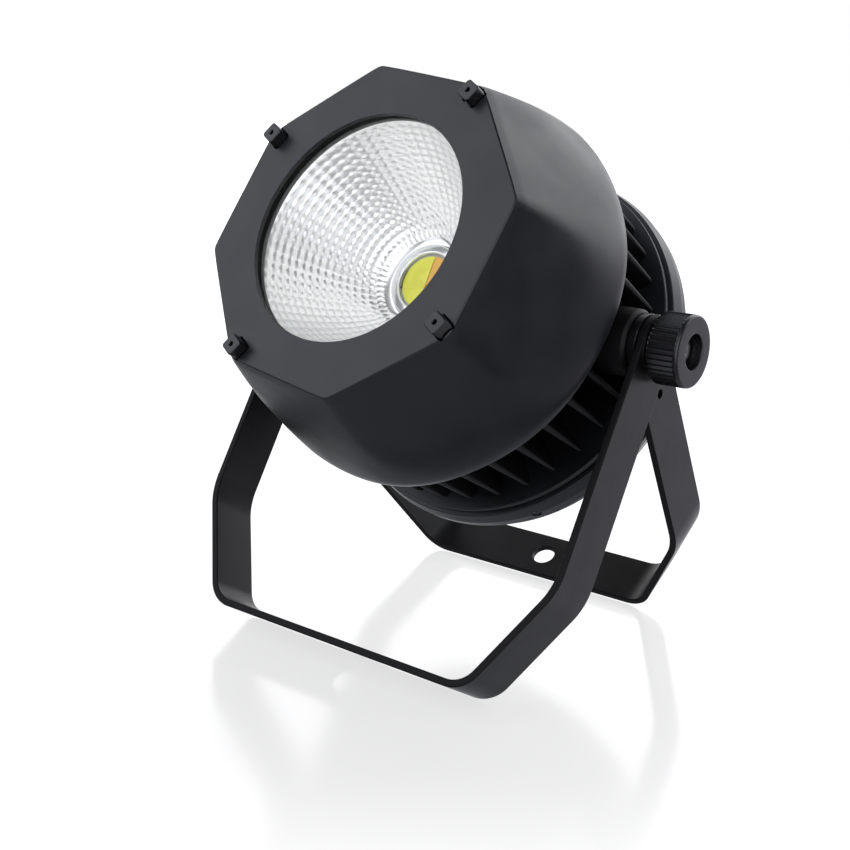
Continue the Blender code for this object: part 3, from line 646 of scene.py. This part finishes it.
def even_bowl(low, high, count):
    """Points of the bowl's profile, evenly apart along it, and their inward normals."""
    fine = [bowl_point((i / 400) ** 1.6, low, high) for i in range(401)]
    lengths = [0.0]
    for a, b in zip(fine, fine[1:]):
        lengths.append(lengths[-1] + (b - a).length)
    points, k = [], 0
    for i in range(count + 1):
        goal = lengths[-1] * i / count
        while k < 399 and lengths[k + 1] < goal:
            k += 1
        share = (goal - lengths[k]) / (lengths[k + 1] - lengths[k])
        along = (fine[k + 1] - fine[k]).normalized()
        points.append((fine[k].lerp(fine[k + 1], share), Vector((-along.y, along.x))))
    return points


def reflector_mesh():
    """Bowl of swelling facets with a plain band at its neck, a rim flange and a plain back."""
    low, high = (corner.z for corner in span("reflector", BEAM))
    flange_r = turned_size("reflector", BEAM)[1]
    rows_in_all = FACET_ROWS + 1
    profile = even_bowl(low, high, rows_in_all * FACET_CELLS)
    around = FACETS_AROUND * FACET_CELLS
    rows = []

    def swell(step):
        """How far a mesh step stands out of its facet's edges, from 0 to 1."""
        return 1 - (2 * (step % FACET_CELLS) / FACET_CELLS - 1) ** 2

    for number, (point, normal) in enumerate(profile):
        plain = number < FACET_CELLS
        row = []
        for i in range(around):
            angle = TURN * i / around
            height = 0 if plain else FACET_SWELL * swell(i) * swell(number)
            r, z = point + normal * height
            row.append((r * math.cos(angle), r * math.sin(angle), z))
        rows.append(row)
    back = [(flange_r, high), (flange_r, high - REFLECTOR_WALL)]
    back += [(p.x + REFLECTOR_WALL, p.y - 0.4 * MM) for p, _ in profile[-2::-4]]
    back += [(NECK_R + REFLECTOR_WALL, low)]
    turns = [TURN * i / around for i in range(around)]
    for r, z in back:
        rows.append([(r * math.cos(a), r * math.sin(a), z) for a in turns])
    return skin(rows, closed=True)


stand_for("reflector", reflector_mesh(), mirror, sharp=19)


def make_led():
    """The board, the ring that holds it with its two contacts, and the two halves of light."""
    low, high = span("led_board", BEAM)
    board = bevelled(prism(rounded_rectangle(low, high, 2 * MM), low.z, high.z), 0.2 * MM, 2)
    stand_for("led_board", board, ceramic)
    fine_turned("led_holder", mirror, edge=0.8 * MM)
    half_moon = [(x - 0.2 * MM, y) for x, y in arc(0, 0, LED_R, 90, 270, 60)]
    halves = (("emitter_cool", cool_phosphor, 0), ("emitter_warm", warm_phosphor, math.pi))
    for node, finish, side in halves:
        low, high = span(node, BEAM)
        moon = bevelled(prism(half_moon, low.z, high.z), 0.25 * MM, 3)
        stand_for(node, moon, finish, BEAM @ about_z(side))
    for number, turn in enumerate((180, 0), 1):
        start, stop = turn - TONGUE_SPAN, turn + TONGUE_SPAN
        outline = arc(0, 0, LED_R + 1.05 * MM, start, stop, 12)
        outline += arc(0, 0, LED_R + 0.2 * MM, stop, start, 12)
        tongue = prism(outline, high.z - 0.6 * MM, high.z + 1.2 * MM)
        add_piece(f"led_contact_{number}", tongue, dark_steel, BEAM, "head", slots["led_holder"])


make_led()


# --- heat sink ------------------------------------------------------------------------
FIN_COUNT = 36
CORE_R = 65.0 * MM
DISC_R = 96.5 * MM
FIN_R = 94.0 * MM
FIN_NOSE = 6.0 * MM                 # radius of a fin's rear corner
PLATE_TOP = 64.0 * MM               # above the fins' rear ends
PLATE_T = 10.0 * MM
BOSS_X = 102.0 * MM
BOSS_ROOT = 55.0 * MM
BOSS_BORE = 7.0 * MM
CABLE_HOLE = (0, -24 * MM, 4 * MM)  # middle and radius


def fin_row(z, tip_r, thickness):
    """Outline of the core with its rounded fins; none beside the two bosses."""
    pitch = TURN / FIN_COUNT
    points = []
    for number in range(FIN_COUNT):
        angle = pitch * (number + 0.5)
        has_fin = abs(math.cos(angle)) < math.cos(0.6 * pitch)
        half = thickness / 2
        shape = [(CORE_R, -math.radians(5)), (CORE_R, -1.7 * half / CORE_R),
                 (CORE_R + 1.5 * MM, -1.2 * half / CORE_R)]
        for k in range(7):
            turn = math.radians(-90 + 30 * k)
            r = tip_r - half + half * math.cos(turn)
            shape.append((r, half * math.sin(turn) / r))
        shape += [(r, -a) for r, a in shape[2:0:-1]]
        if not has_fin:
            shape = [(CORE_R, math.radians(8 * k / len(shape) - 5)) for k in range(len(shape))]
        points += [(r * math.cos(angle + a), r * math.sin(angle + a), z) for r, a in shape]
    return points


def heat_sink_mesh():
    """Core and fins under the front plate, with the pivot bosses and the catches' posts."""
    low, high = (corner.z for corner in span("heat_sink", BEAM))
    plate_top = low + PLATE_TOP
    plate_low = plate_top - PLATE_T
    rows = []                       # z, tip radius and thickness of the fins
    for k in range(6):
        a = math.radians(90 - 18 * k)
        rows.append((low + FIN_NOSE * (1 - math.sin(a)), FIN_R - FIN_NOSE * (1 - math.cos(a)),
                     (1.5 + 0.1 * k) * MM))
    straight = plate_low - low - FIN_NOSE
    rows += [(low + FIN_NOSE + straight * k / 8, FIN_R + 0.2 * k * MM, (2.0 + 2.6 * k / 8) * MM)
             for k in range(1, 9)]
    outlines = [fin_row(*row) for row in rows]
    bevel = 0.6 * MM
    for r, z in ((DISC_R - bevel, plate_low), (DISC_R, plate_low + bevel),
                 (DISC_R, plate_top - bevel), (DISC_R - bevel, plate_top)):
        outlines.append([(x * r / math.hypot(x, y), y * r / math.hypot(x, y), z)
                         for x, y, _ in outlines[0]])
    sink = skin(outlines)
    sides = [at(0, -AXIS_RISE) @ Matrix.Rotation(side * math.pi / 2, 4, "Y") for side in (1, -1)]
    boss = softened([(0, BOSS_X), (15 * MM, BOSS_X), (16.5 * MM, BOSS_X - 1.5 * MM),
                     (17.5 * MM, BOSS_ROOT), (0, BOSS_ROOT)], 0.8 * MM)
    added = [moved(turned(boss, 64), side) for side in sides]
    post = (3.5 * MM, plate_top - 3 * MM, high, 20)
    added += [moved(rod(*post), clip_place(turn)) for turn in CLIP_TURNS]
    bores = [moved(rod(BOSS_BORE, 78 * MM, BOSS_X + 5 * MM, 48), side) for side in sides]
    x, y, r = CABLE_HOLE
    bores.append(moved(rod(r, -60 * MM, plate_top + 5 * MM), at(x, y)))
    return carved(carved(sink, joined(added), "UNION"), joined(bores))


stand_for("heat_sink", heat_sink_mesh(), black_cast)


# --- rear housing and panel -----------------------------------------------------------
# radius and z in mm
HOUSING_OUTSIDE = [(12.0, -30.3), (97.4, -30.3), (97.4, -33.6), (95.6, -33.9), (95.6, -35.2),
                   (99.4, -35.2), (101.2, -42.0), (101.0, -48.0), (99.0, -54.0), (95.6, -59.5),
                   (86.5, -77.0), (80.0, -90.0), (75.8, -94.0)]
HOUSING_INSIDE = [(66.0, -94.0), (66.0, -91.5), (77.0, -89.0), (84.0, -76.0), (93.2, -57.0),
                  (98.2, -48.0), (98.2, -43.0), (92.5, -35.5), (92.5, -33.0), (12.0, -33.0)]
WELL = [(2.4, -5.0), (2.4, -0.5), (3.4, 0.5)]
SUNK_SCREW = [(2.3, -6.0), (2.3, -1.3), (1.9, -1.0), (1.1, -1.0), (1.0, -2.2)]
SIDE_SCREW_TURNS = (-59, 121)
SIDE_SCREW_R = 101.1 * MM
SIDE_SCREW_Z = -43.1 * MM


def in_metres(profile):
    return [(r * MM, z * MM) for r, z in profile]


def side_screw_place(turn):
    sideways = Matrix.Rotation(math.pi / 2, 4, "Y")
    return about_z(math.radians(turn)) @ at(SIDE_SCREW_R, 0, SIDE_SCREW_Z) @ sideways


def make_housing():
    """The turned shell, with a screw sunk into each side of it."""
    profile = softened(in_metres(HOUSING_OUTSIDE + HOUSING_INSIDE), 0.8 * MM, closed=True)
    shell = turned(profile, 160, closed=True)
    places = [side_screw_place(turn) for turn in SIDE_SCREW_TURNS]
    wells = [moved(turned(in_metres(WELL), 32), place) for place in places]
    stand_for("rear_housing", carved(shell, joined(wells)), black_paint)
    for number, place in enumerate(places, 1):
        screw = turned(in_metres(SUNK_SCREW), 32)
        add_piece(f"side_screw_{number}", screw, dark_steel, BEAM @ place, "head",
                  slots["cover_screw_1"])
    fine_turned("rear_gasket", rubber, steps=144)


make_housing()


PANEL_LOW, PANEL_TOP = (corner.z for corner in span("rear_panel", BEAM))
panel_r = turned_size("rear_panel", BEAM)[1]


def through(node):
    """Frame beside the beam's, whose Z runs through the middle of a node on the panel."""
    low, high = span(node, BEAM)
    return at(*(low + high).xy / 2)


SOCKETS = ("power_inlet", "power_outlet", "signal_inlet", "signal_outlet")
BUTTONS = [f"menu_button_{k}" for k in range(1, 5)]
COVER_SCREWS = [f"cover_screw_{k}" for k in range(1, 5)]
SEAT = PANEL_LOW - 0.3 * MM         # where the fittings' flanges rest on the panel
FLANGE_DEPTH = 2.2 * MM


def make_panel():
    """The rear panel with a hole for each fitting, and the display's window."""
    profile = softened([(0, PANEL_TOP), (panel_r, PANEL_TOP), (panel_r, PANEL_LOW + 0.8 * MM),
                        (panel_r - 0.8 * MM, PANEL_LOW), (0, PANEL_LOW)], 0.5 * MM)
    sizes = {node: 11.8 * MM for node in SOCKETS}
    sizes.update({node: 4.5 * MM for node in BUTTONS})
    sizes.update({node: 1.9 * MM for node in COVER_SCREWS})
    sizes["fuse_holder"] = 6.3 * MM
    holes = [moved(rod(r, PANEL_LOW - 3 * MM, PANEL_TOP + 3 * MM, 48), through(node))
             for node, r in sizes.items()]
    low, high = span("display_window", BEAM)
    outline = rounded_rectangle(low, high, 1.5 * MM)
    holes.append(prism(outline, PANEL_LOW - 3 * MM, PANEL_TOP + 3 * MM))
    panel = carved(turned(profile, 144), joined(holes))
    stand_for("rear_panel", panel, black_paint)
    inset = Vector((0.35 * MM, 0.35 * MM))
    outline = rounded_rectangle(low.xy + inset, high.xy - inset, 1.2 * MM)
    window = bevelled(prism(outline, low.z, high.z), 0.2 * MM, 2)
    stand_for("display_window", window, smoked_glass)


def make_socket(node):
    """Flanged cup with a key in its wall, and its contacts as separate pins."""
    power = node.startswith("power")
    cup_r = (8.6 if power else 7.4) * MM
    floor = SEAT + 11 * MM
    top = SEAT - FLANGE_DEPTH
    profile = [(0, SEAT + 14 * MM), (11.4 * MM, SEAT + 14 * MM), (11.4 * MM, SEAT),
               (14 * MM, SEAT), (14 * MM, SEAT - 1.4 * MM), (13.2 * MM, top),
               (cup_r + 0.6 * MM, top), (cup_r, top + 0.6 * MM), (cup_r, floor), (0, floor)]
    cup = turned(softened(profile, 0.5 * MM), 72)
    keys = [(-90, 2.2), (30, 1.4), (150, 1.4)] if power else [(90, 2.0)]
    ridges = []
    for turn, width in keys:
        outline = rounded_rectangle((cup_r - 1.2 * MM, -width / 2 * MM),
                                    (cup_r + 0.3 * MM, width / 2 * MM), 0.4 * MM, 3)
        ridge = prism(outline, SEAT - 0.5 * MM, floor)
        ridges.append(moved(ridge, about_z(math.radians(turn))))
    screws = [moved(turned(rod_profile(1.3 * MM, top - 0.35 * MM, SEAT, 0.3 * MM), 20),
                    about_z(math.radians(turn)) @ at(11.2 * MM, 0)) for turn in (45, 225)]
    stand_for(node, joined([cup, *ridges]), black_plastic, BEAM @ through(node))
    count = 3 if power else 5
    pins = []
    for k in range(count):
        turn = math.radians(60 * (k + 2) + (30 if power else 0))
        if power:
            blade = rounded_rectangle((3.6 * MM, -1.7 * MM), (5.2 * MM, 1.7 * MM), 0.5 * MM, 3)
            pin = bevelled(prism(blade, floor - 7 * MM, floor + 0.2 * MM), 0.3 * MM, 2)
        else:
            round_pin = rod_profile(0.8 * MM, floor - 7.5 * MM, floor + 0.2 * MM, 0.5 * MM)
            pin = moved(turned(round_pin, 20), at(4.0 * MM, 0))
        pins.append(moved(pin, about_z(turn)))
    place = BEAM @ through(node)
    add_piece(node + "_contacts", joined(pins), brass if power else steel, place, "head", "brass")
    add_piece(node + "_fixings", joined(screws), dark_steel, place, "head", "steel")


def cross_head(profile, top, slot_length, slot_width, depth):
    """A screw whose head has a cross recess in the end at z top."""
    screw = turned(softened(profile, 0.4 * MM), 40)
    inward = depth if top < 0 else -depth
    outward = -MM if top < 0 else MM
    low, high = sorted((top + inward, top + outward))
    outline = rounded_rectangle((-slot_length, -slot_width), (slot_length, slot_width),
                                slot_width * 0.5, 2)
    for turn in (0, 90):
        screw = carved(screw, moved(prism(outline, low, high), about_z(math.radians(turn))))
    return screw


def make_rear_details():
    """The dished buttons, the fuse cap with its slot and the cover's screws."""
    tip, root = (corner.z for corner in span("menu_button_1", BEAM))
    dish = [(0, root), (5.2 * MM, root), (5.2 * MM, root - 1.2 * MM),
            (4.1 * MM, root - 1.2 * MM), (4.1 * MM, tip), (3.2 * MM, tip),
            (1.6 * MM, tip + 0.4 * MM), (0.4 * MM, tip + 0.5 * MM)]
    for node in BUTTONS:
        stand_for(node, turned(softened(dish, 0.5 * MM), 48), black_plastic, BEAM @ through(node))

    fuse_top = span("fuse_holder", BEAM)[1].z
    cap = [(0, fuse_top), (6 * MM, fuse_top), (6 * MM, SEAT), (8 * MM, SEAT),
           (8 * MM, SEAT - 2 * MM), (6.4 * MM, SEAT - 2 * MM), (5.6 * MM, SEAT - 6 * MM),
           (0, SEAT - 6 * MM)]
    outline = rounded_rectangle((-4.2 * MM, -0.6 * MM), (4.2 * MM, 0.6 * MM), 0.4 * MM, 3)
    slot = prism(outline, SEAT - 7 * MM, SEAT - 4.2 * MM)
    fuse = carved(turned(softened(cap, 0.4 * MM), 64), slot)
    stand_for("fuse_holder", fuse, black_plastic, BEAM @ through("fuse_holder"))

    low, high = (corner.z for corner in span("cover_screw_1", BEAM))
    body = [(0, high), (1.5 * MM, high), (1.5 * MM, SEAT), (3.4 * MM, SEAT),
            (3.2 * MM, SEAT - 0.8 * MM), (2.2 * MM, low), (0, low)]
    screw = cross_head(body, low, 1.5 * MM, 0.35 * MM, 0.9 * MM)
    for node in COVER_SCREWS:
        stand_for(node, screw, dark_steel, BEAM @ through(node))


def make_safety_loop():
    """Bent wire with its feet through the panel."""
    low, high = span("safety_loop", BEAM)
    wire_r = (high.y - low.y) / 2
    loop_r = (high.x - low.x) / 2 - wire_r
    bend_z = SEAT - (high.z - low.z - wire_r - loop_r)
    path = [Vector((-loop_r, SEAT)), *(Vector(p) for p in arc(0, bend_z, loop_r, 180, 360, 32)),
            Vector((loop_r, SEAT))]
    turns = [TURN * i / 20 for i in range(20)]
    rows = []
    for before, point, after in zip([path[0]] + path, path, path[1:] + [path[-1]]):
        side = Vector((-(after - before).y, (after - before).x)).normalized()
        rows.append([(point.x + wire_r * math.cos(a) * side.x, wire_r * math.sin(a),
                      point.y + wire_r * math.cos(a) * side.y) for a in turns])
    stand_for("safety_loop", skin(rows), steel, BEAM @ through("safety_loop"))


make_panel()
for node in SOCKETS:
    make_socket(node)
make_rear_details()
make_safety_loop()


# --- tilt pivots ----------------------------------------------------------------------
KNOB_RIBS = 40
RIB_STEPS = 8
KNOB_R = 17.4 * MM
RIB_DEPTH = 1.0 * MM
RECESS_R = 8.4 * MM
RECESS_DEPTH = 9.0 * MM
STUD_HOLE = 4.3 * MM
RIM_EDGE = 1.3 * MM
BOLT_HEAD = 8.7 * MM                # from a knob's outer end to the underside of its bolt's head


def knob_mesh(low, high):
    """Ribbed grip with a plain rim and a deep round recess."""
    def grip(less, ribbed=1.0):
        """Outer radius by angle, with ribs of their full depth or less."""
        def radius(angle):
            wave = 0.5 - 0.5 * math.cos(KNOB_RIBS * angle)
            return KNOB_R - less - RIB_DEPTH * ribbed * wave ** 0.8
        return radius

    rim = high - 2 * RIM_EDGE
    rows = [(STUD_HOLE, low), (9 * MM, low), (grip(1.2 * MM), low),
            (grip(0.4 * MM), low + 0.3 * MM), (grip(0), low + 1.0 * MM)]
    rows += [(grip(0), low + MM + (rim - low - MM) * k / 4) for k in range(1, 5)]
    rows += [(grip(0, 0.35), rim + 0.3 * MM), (grip(0.05 * MM, 0), rim + 0.8 * MM),
             (grip(0.1 * MM, 0), high - RIM_EDGE)]
    for k in range(1, 5):
        a = math.radians(22.5 * k)
        rows.append((grip(0.1 * MM + RIM_EDGE * (1 - math.cos(a)), 0),
                     high - RIM_EDGE * (1 - math.sin(a))))
    rows += [(RECESS_R + 0.9 * MM, high), (RECESS_R + 0.25 * MM, high - 0.2 * MM),
             (RECESS_R, high - 0.8 * MM), (RECESS_R - 0.4 * MM, high - RECESS_DEPTH),
             (STUD_HOLE, high - RECESS_DEPTH)]
    return turned(rows, KNOB_RIBS * RIB_STEPS, closed=True)


def bolt_mesh(low, high, head_low):
    """Clamp bolt with a six-sided socket in its head."""
    def six(half):
        """Radius by angle of a hexagon that is 2 * half across its flats."""
        return lambda angle: half / math.cos(angle % (TURN / 6) - math.pi / 6)

    shank = 4.0 * MM
    head = 6.5 * MM
    rows = [(shank - 0.6 * MM, low), (shank, low + 0.6 * MM), (shank, head_low), (head, head_low),
            (head, high - 0.8 * MM), (head - 0.25 * MM, high - 0.2 * MM), (head - 0.9 * MM, high),
            (4.3 * MM, high), (six(2.7 * MM), high - 0.5 * MM), (six(2.5 * MM), high - 2.6 * MM)]
    return turned(rows, 72)


for side, word in ((1, "right"), (-1, "left")):
    across = TILT @ Matrix.Rotation(side * math.pi / 2, 4, "Y")
    fine_turned(f"{word}_threaded_insert", brass, across)
    fine_turned(f"{word}_inner_washer", rubber, across)
    fine_turned(f"{word}_middle_washer", rubber, across, edge=0.15 * MM)
    fine_turned(f"{word}_clamp_washer", dark_steel, across, edge=0.3 * MM)
    low, high = (corner.z for corner in span(f"{word}_knob", across))
    stand_for(f"{word}_knob", knob_mesh(low, high), black_plastic, across)
    head_low = high - BOLT_HEAD
    low, high = (corner.z for corner in span(f"{word}_clamp_bolt", across))
    stand_for(f"{word}_clamp_bolt", bolt_mesh(low, high, head_low), dark_steel, across)


# --- parts inside that keep their CAD shape -------------------------------------------
INSIDE = {
    "control_board": green_board, "driver_board": green_board, "display_module": liquid_crystal,
    "menu_switches": component, "driver_transformer": component, "driver_choke": component,
    "driver_capacitor": component, "led_cable": rubber,
}
INSIDE.update({f"housing_screw_{k}": steel for k in range(1, 5)})
for node, finish in INSIDE.items():
    kept = frame["nodes"][node]
    kept.data.materials.clear()
    kept.data.materials.append(finish)


# --- floor and lights -----------------------------------------------------------------
SKY_DARK = 0.06
SKY_GLOWS = [
    # direction, even to this many degrees, faded out at this many, colour
    ((-0.59, -0.62, 0.52), 18, 46, (0.68, 0.70, 0.80)),     # front left, above
    ((-0.55, 0.82, 0.15), 30, 58, (1.25, 1.25, 1.28)),      # backdrop
    ((0.55, 0.78, -0.30), 16, 42, (0.52, 0.51, 0.57)),      # pale floor behind, at the right
    ((0.62, -0.76, 0.20), 26, 50, (1.55, 1.57, 1.60)),      # wide fill from the front right
    ((-0.15, 0.10, -1.00), 30, 75, (0.32, 0.33, 0.36)),     # light that the floor sends up
]
# the floor's emission paints light on it: dim far behind, bright in front of the light towards the camera
FLOOR_NEAR = 0.16                   # the floor is brighter this far in front of the light
FLOOR_FAR = 0.34
FLOOR_DIM = 0.70
FLOOR_BRIGHT = 1.0


def make_floor():
    """Pale, softly glossy floor whose emission paints light on it, brighter towards the camera."""
    shape = bmesh.new()
    bmesh.ops.create_grid(shape, x_segments=4, y_segments=4, size=12)
    mesh = bpy.data.meshes.new("floor")
    shape.to_mesh(mesh)
    shape.free()
    floor = bpy.data.objects.new("floor", mesh)
    bpy.context.scene.collection.objects.link(floor)
    floor.location.z = cad_box[0].z - 0.1 * MM
    material = surface("floor_painted_light", (0.22, 0.22, 0.22), 0.13, grain=40, depth=0.0, mottle=2,
                       change=0.01)
    shader = material.node_tree.nodes["Principled BSDF"]
    nodes, links = material.node_tree.nodes, material.node_tree.links
    place = nodes.new("ShaderNodeTexCoord")
    ahead = nodes.new("ShaderNodeVectorMath")
    ahead.operation = "DOT_PRODUCT"
    ahead.inputs[1].default_value = (math.sin(CAMERA_TURN), -math.cos(CAMERA_TURN), 0)
    links.new(place.outputs["Object"], ahead.inputs[0])
    painted_light_sweep = nodes.new("ShaderNodeMapRange")
    painted_light_sweep.interpolation_type = "SMOOTHSTEP"
    for name, number in (("From Min", FLOOR_NEAR), ("From Max", FLOOR_FAR),
                         ("To Min", FLOOR_DIM), ("To Max", FLOOR_BRIGHT)):
        painted_light_sweep.inputs[name].default_value = number
    links.new(ahead.outputs["Value"], painted_light_sweep.inputs["Value"])
    # the emission strength is painted light on the floor
    links.new(painted_light_sweep.outputs[0], shader.inputs["Emission Strength"])
    shader.inputs["Emission Color"].default_value = (1, 1, 1, 1)
    shader.inputs["IOR"].default_value = 1.8
    mesh.materials.append(material)
    floor.visible_diffuse = False
    floor.visible_glossy = False


def make_world():
    """White behind the light; the light itself is lit by the soft glows of the sky."""
    world = bpy.data.worlds.new("studio")
    bpy.context.scene.world = world
    world.use_nodes = True
    nodes, links = world.node_tree.nodes, world.node_tree.links
    lit, seen = nodes["Background"], nodes.new("ShaderNodeBackground")
    seen.inputs["Color"].default_value = (1, 1, 1, 1)
    place = nodes.new("ShaderNodeTexCoord")
    total = nodes.new("ShaderNodeCombineXYZ").outputs[0]
    for socket in total.node.inputs:
        socket.default_value = SKY_DARK
    for direction, even, gone, colour in SKY_GLOWS:
        toward = nodes.new("ShaderNodeVectorMath")
        toward.operation = "DOT_PRODUCT"
        toward.inputs[1].default_value = Vector(direction).normalized()
        links.new(place.outputs["Generated"], toward.inputs[0])
        fade = nodes.new("ShaderNodeMapRange")
        fade.interpolation_type = "SMOOTHSTEP"
        fade.inputs["From Min"].default_value = math.cos(math.radians(gone))
        fade.inputs["From Max"].default_value = math.cos(math.radians(even))
        links.new(toward.outputs["Value"], fade.inputs["Value"])
        glow = nodes.new("ShaderNodeVectorMath")
        glow.operation = "MULTIPLY_ADD"
        glow.inputs[1].default_value = colour
        links.new(fade.outputs[0], glow.inputs[0])
        links.new(total, glow.inputs[2])
        total = glow.outputs[0]
    links.new(total, lit.inputs["Color"])
    rays = nodes.new("ShaderNodeLightPath")
    mix = nodes.new("ShaderNodeMixShader")
    links.new(rays.outputs["Is Camera Ray"], mix.inputs[0])
    links.new(lit.outputs[0], mix.inputs[1])
    links.new(seen.outputs[0], mix.inputs[2])
    links.new(mix.outputs[0], nodes["World Output"].inputs["Surface"])


def softbox(name, direction, away, size, power, colour=(1, 1, 1)):
    """A square area light that looks at the middle of the light."""
    data = bpy.data.lights.new(name, "AREA")
    data.shape = "RECTANGLE"
    data.size, data.size_y = size
    data.energy = power
    data.color = colour
    lamp = bpy.data.objects.new(name, data)
    bpy.context.scene.collection.objects.link(lamp)
    direction = Vector(direction).normalized()
    lamp.location = PIVOT + direction * away
    lamp.rotation_mode = "QUATERNION"
    lamp.rotation_quaternion = direction.to_track_quat("Z", "Y")
    lamp.visible_camera = False


def make_lights():
    softbox("front_left", (-0.62, -0.62, 0.48), 1.6, (1.8, 1.6), 8, (0.93, 0.95, 1.0))
    softbox("back_top", (0.40, 0.74, 0.54), 1.6, (2.0, 1.4), 14, (0.95, 0.96, 1.0))


make_floor()
make_world()
make_lights()
bpy.context.scene.view_settings.view_transform = "Standard"
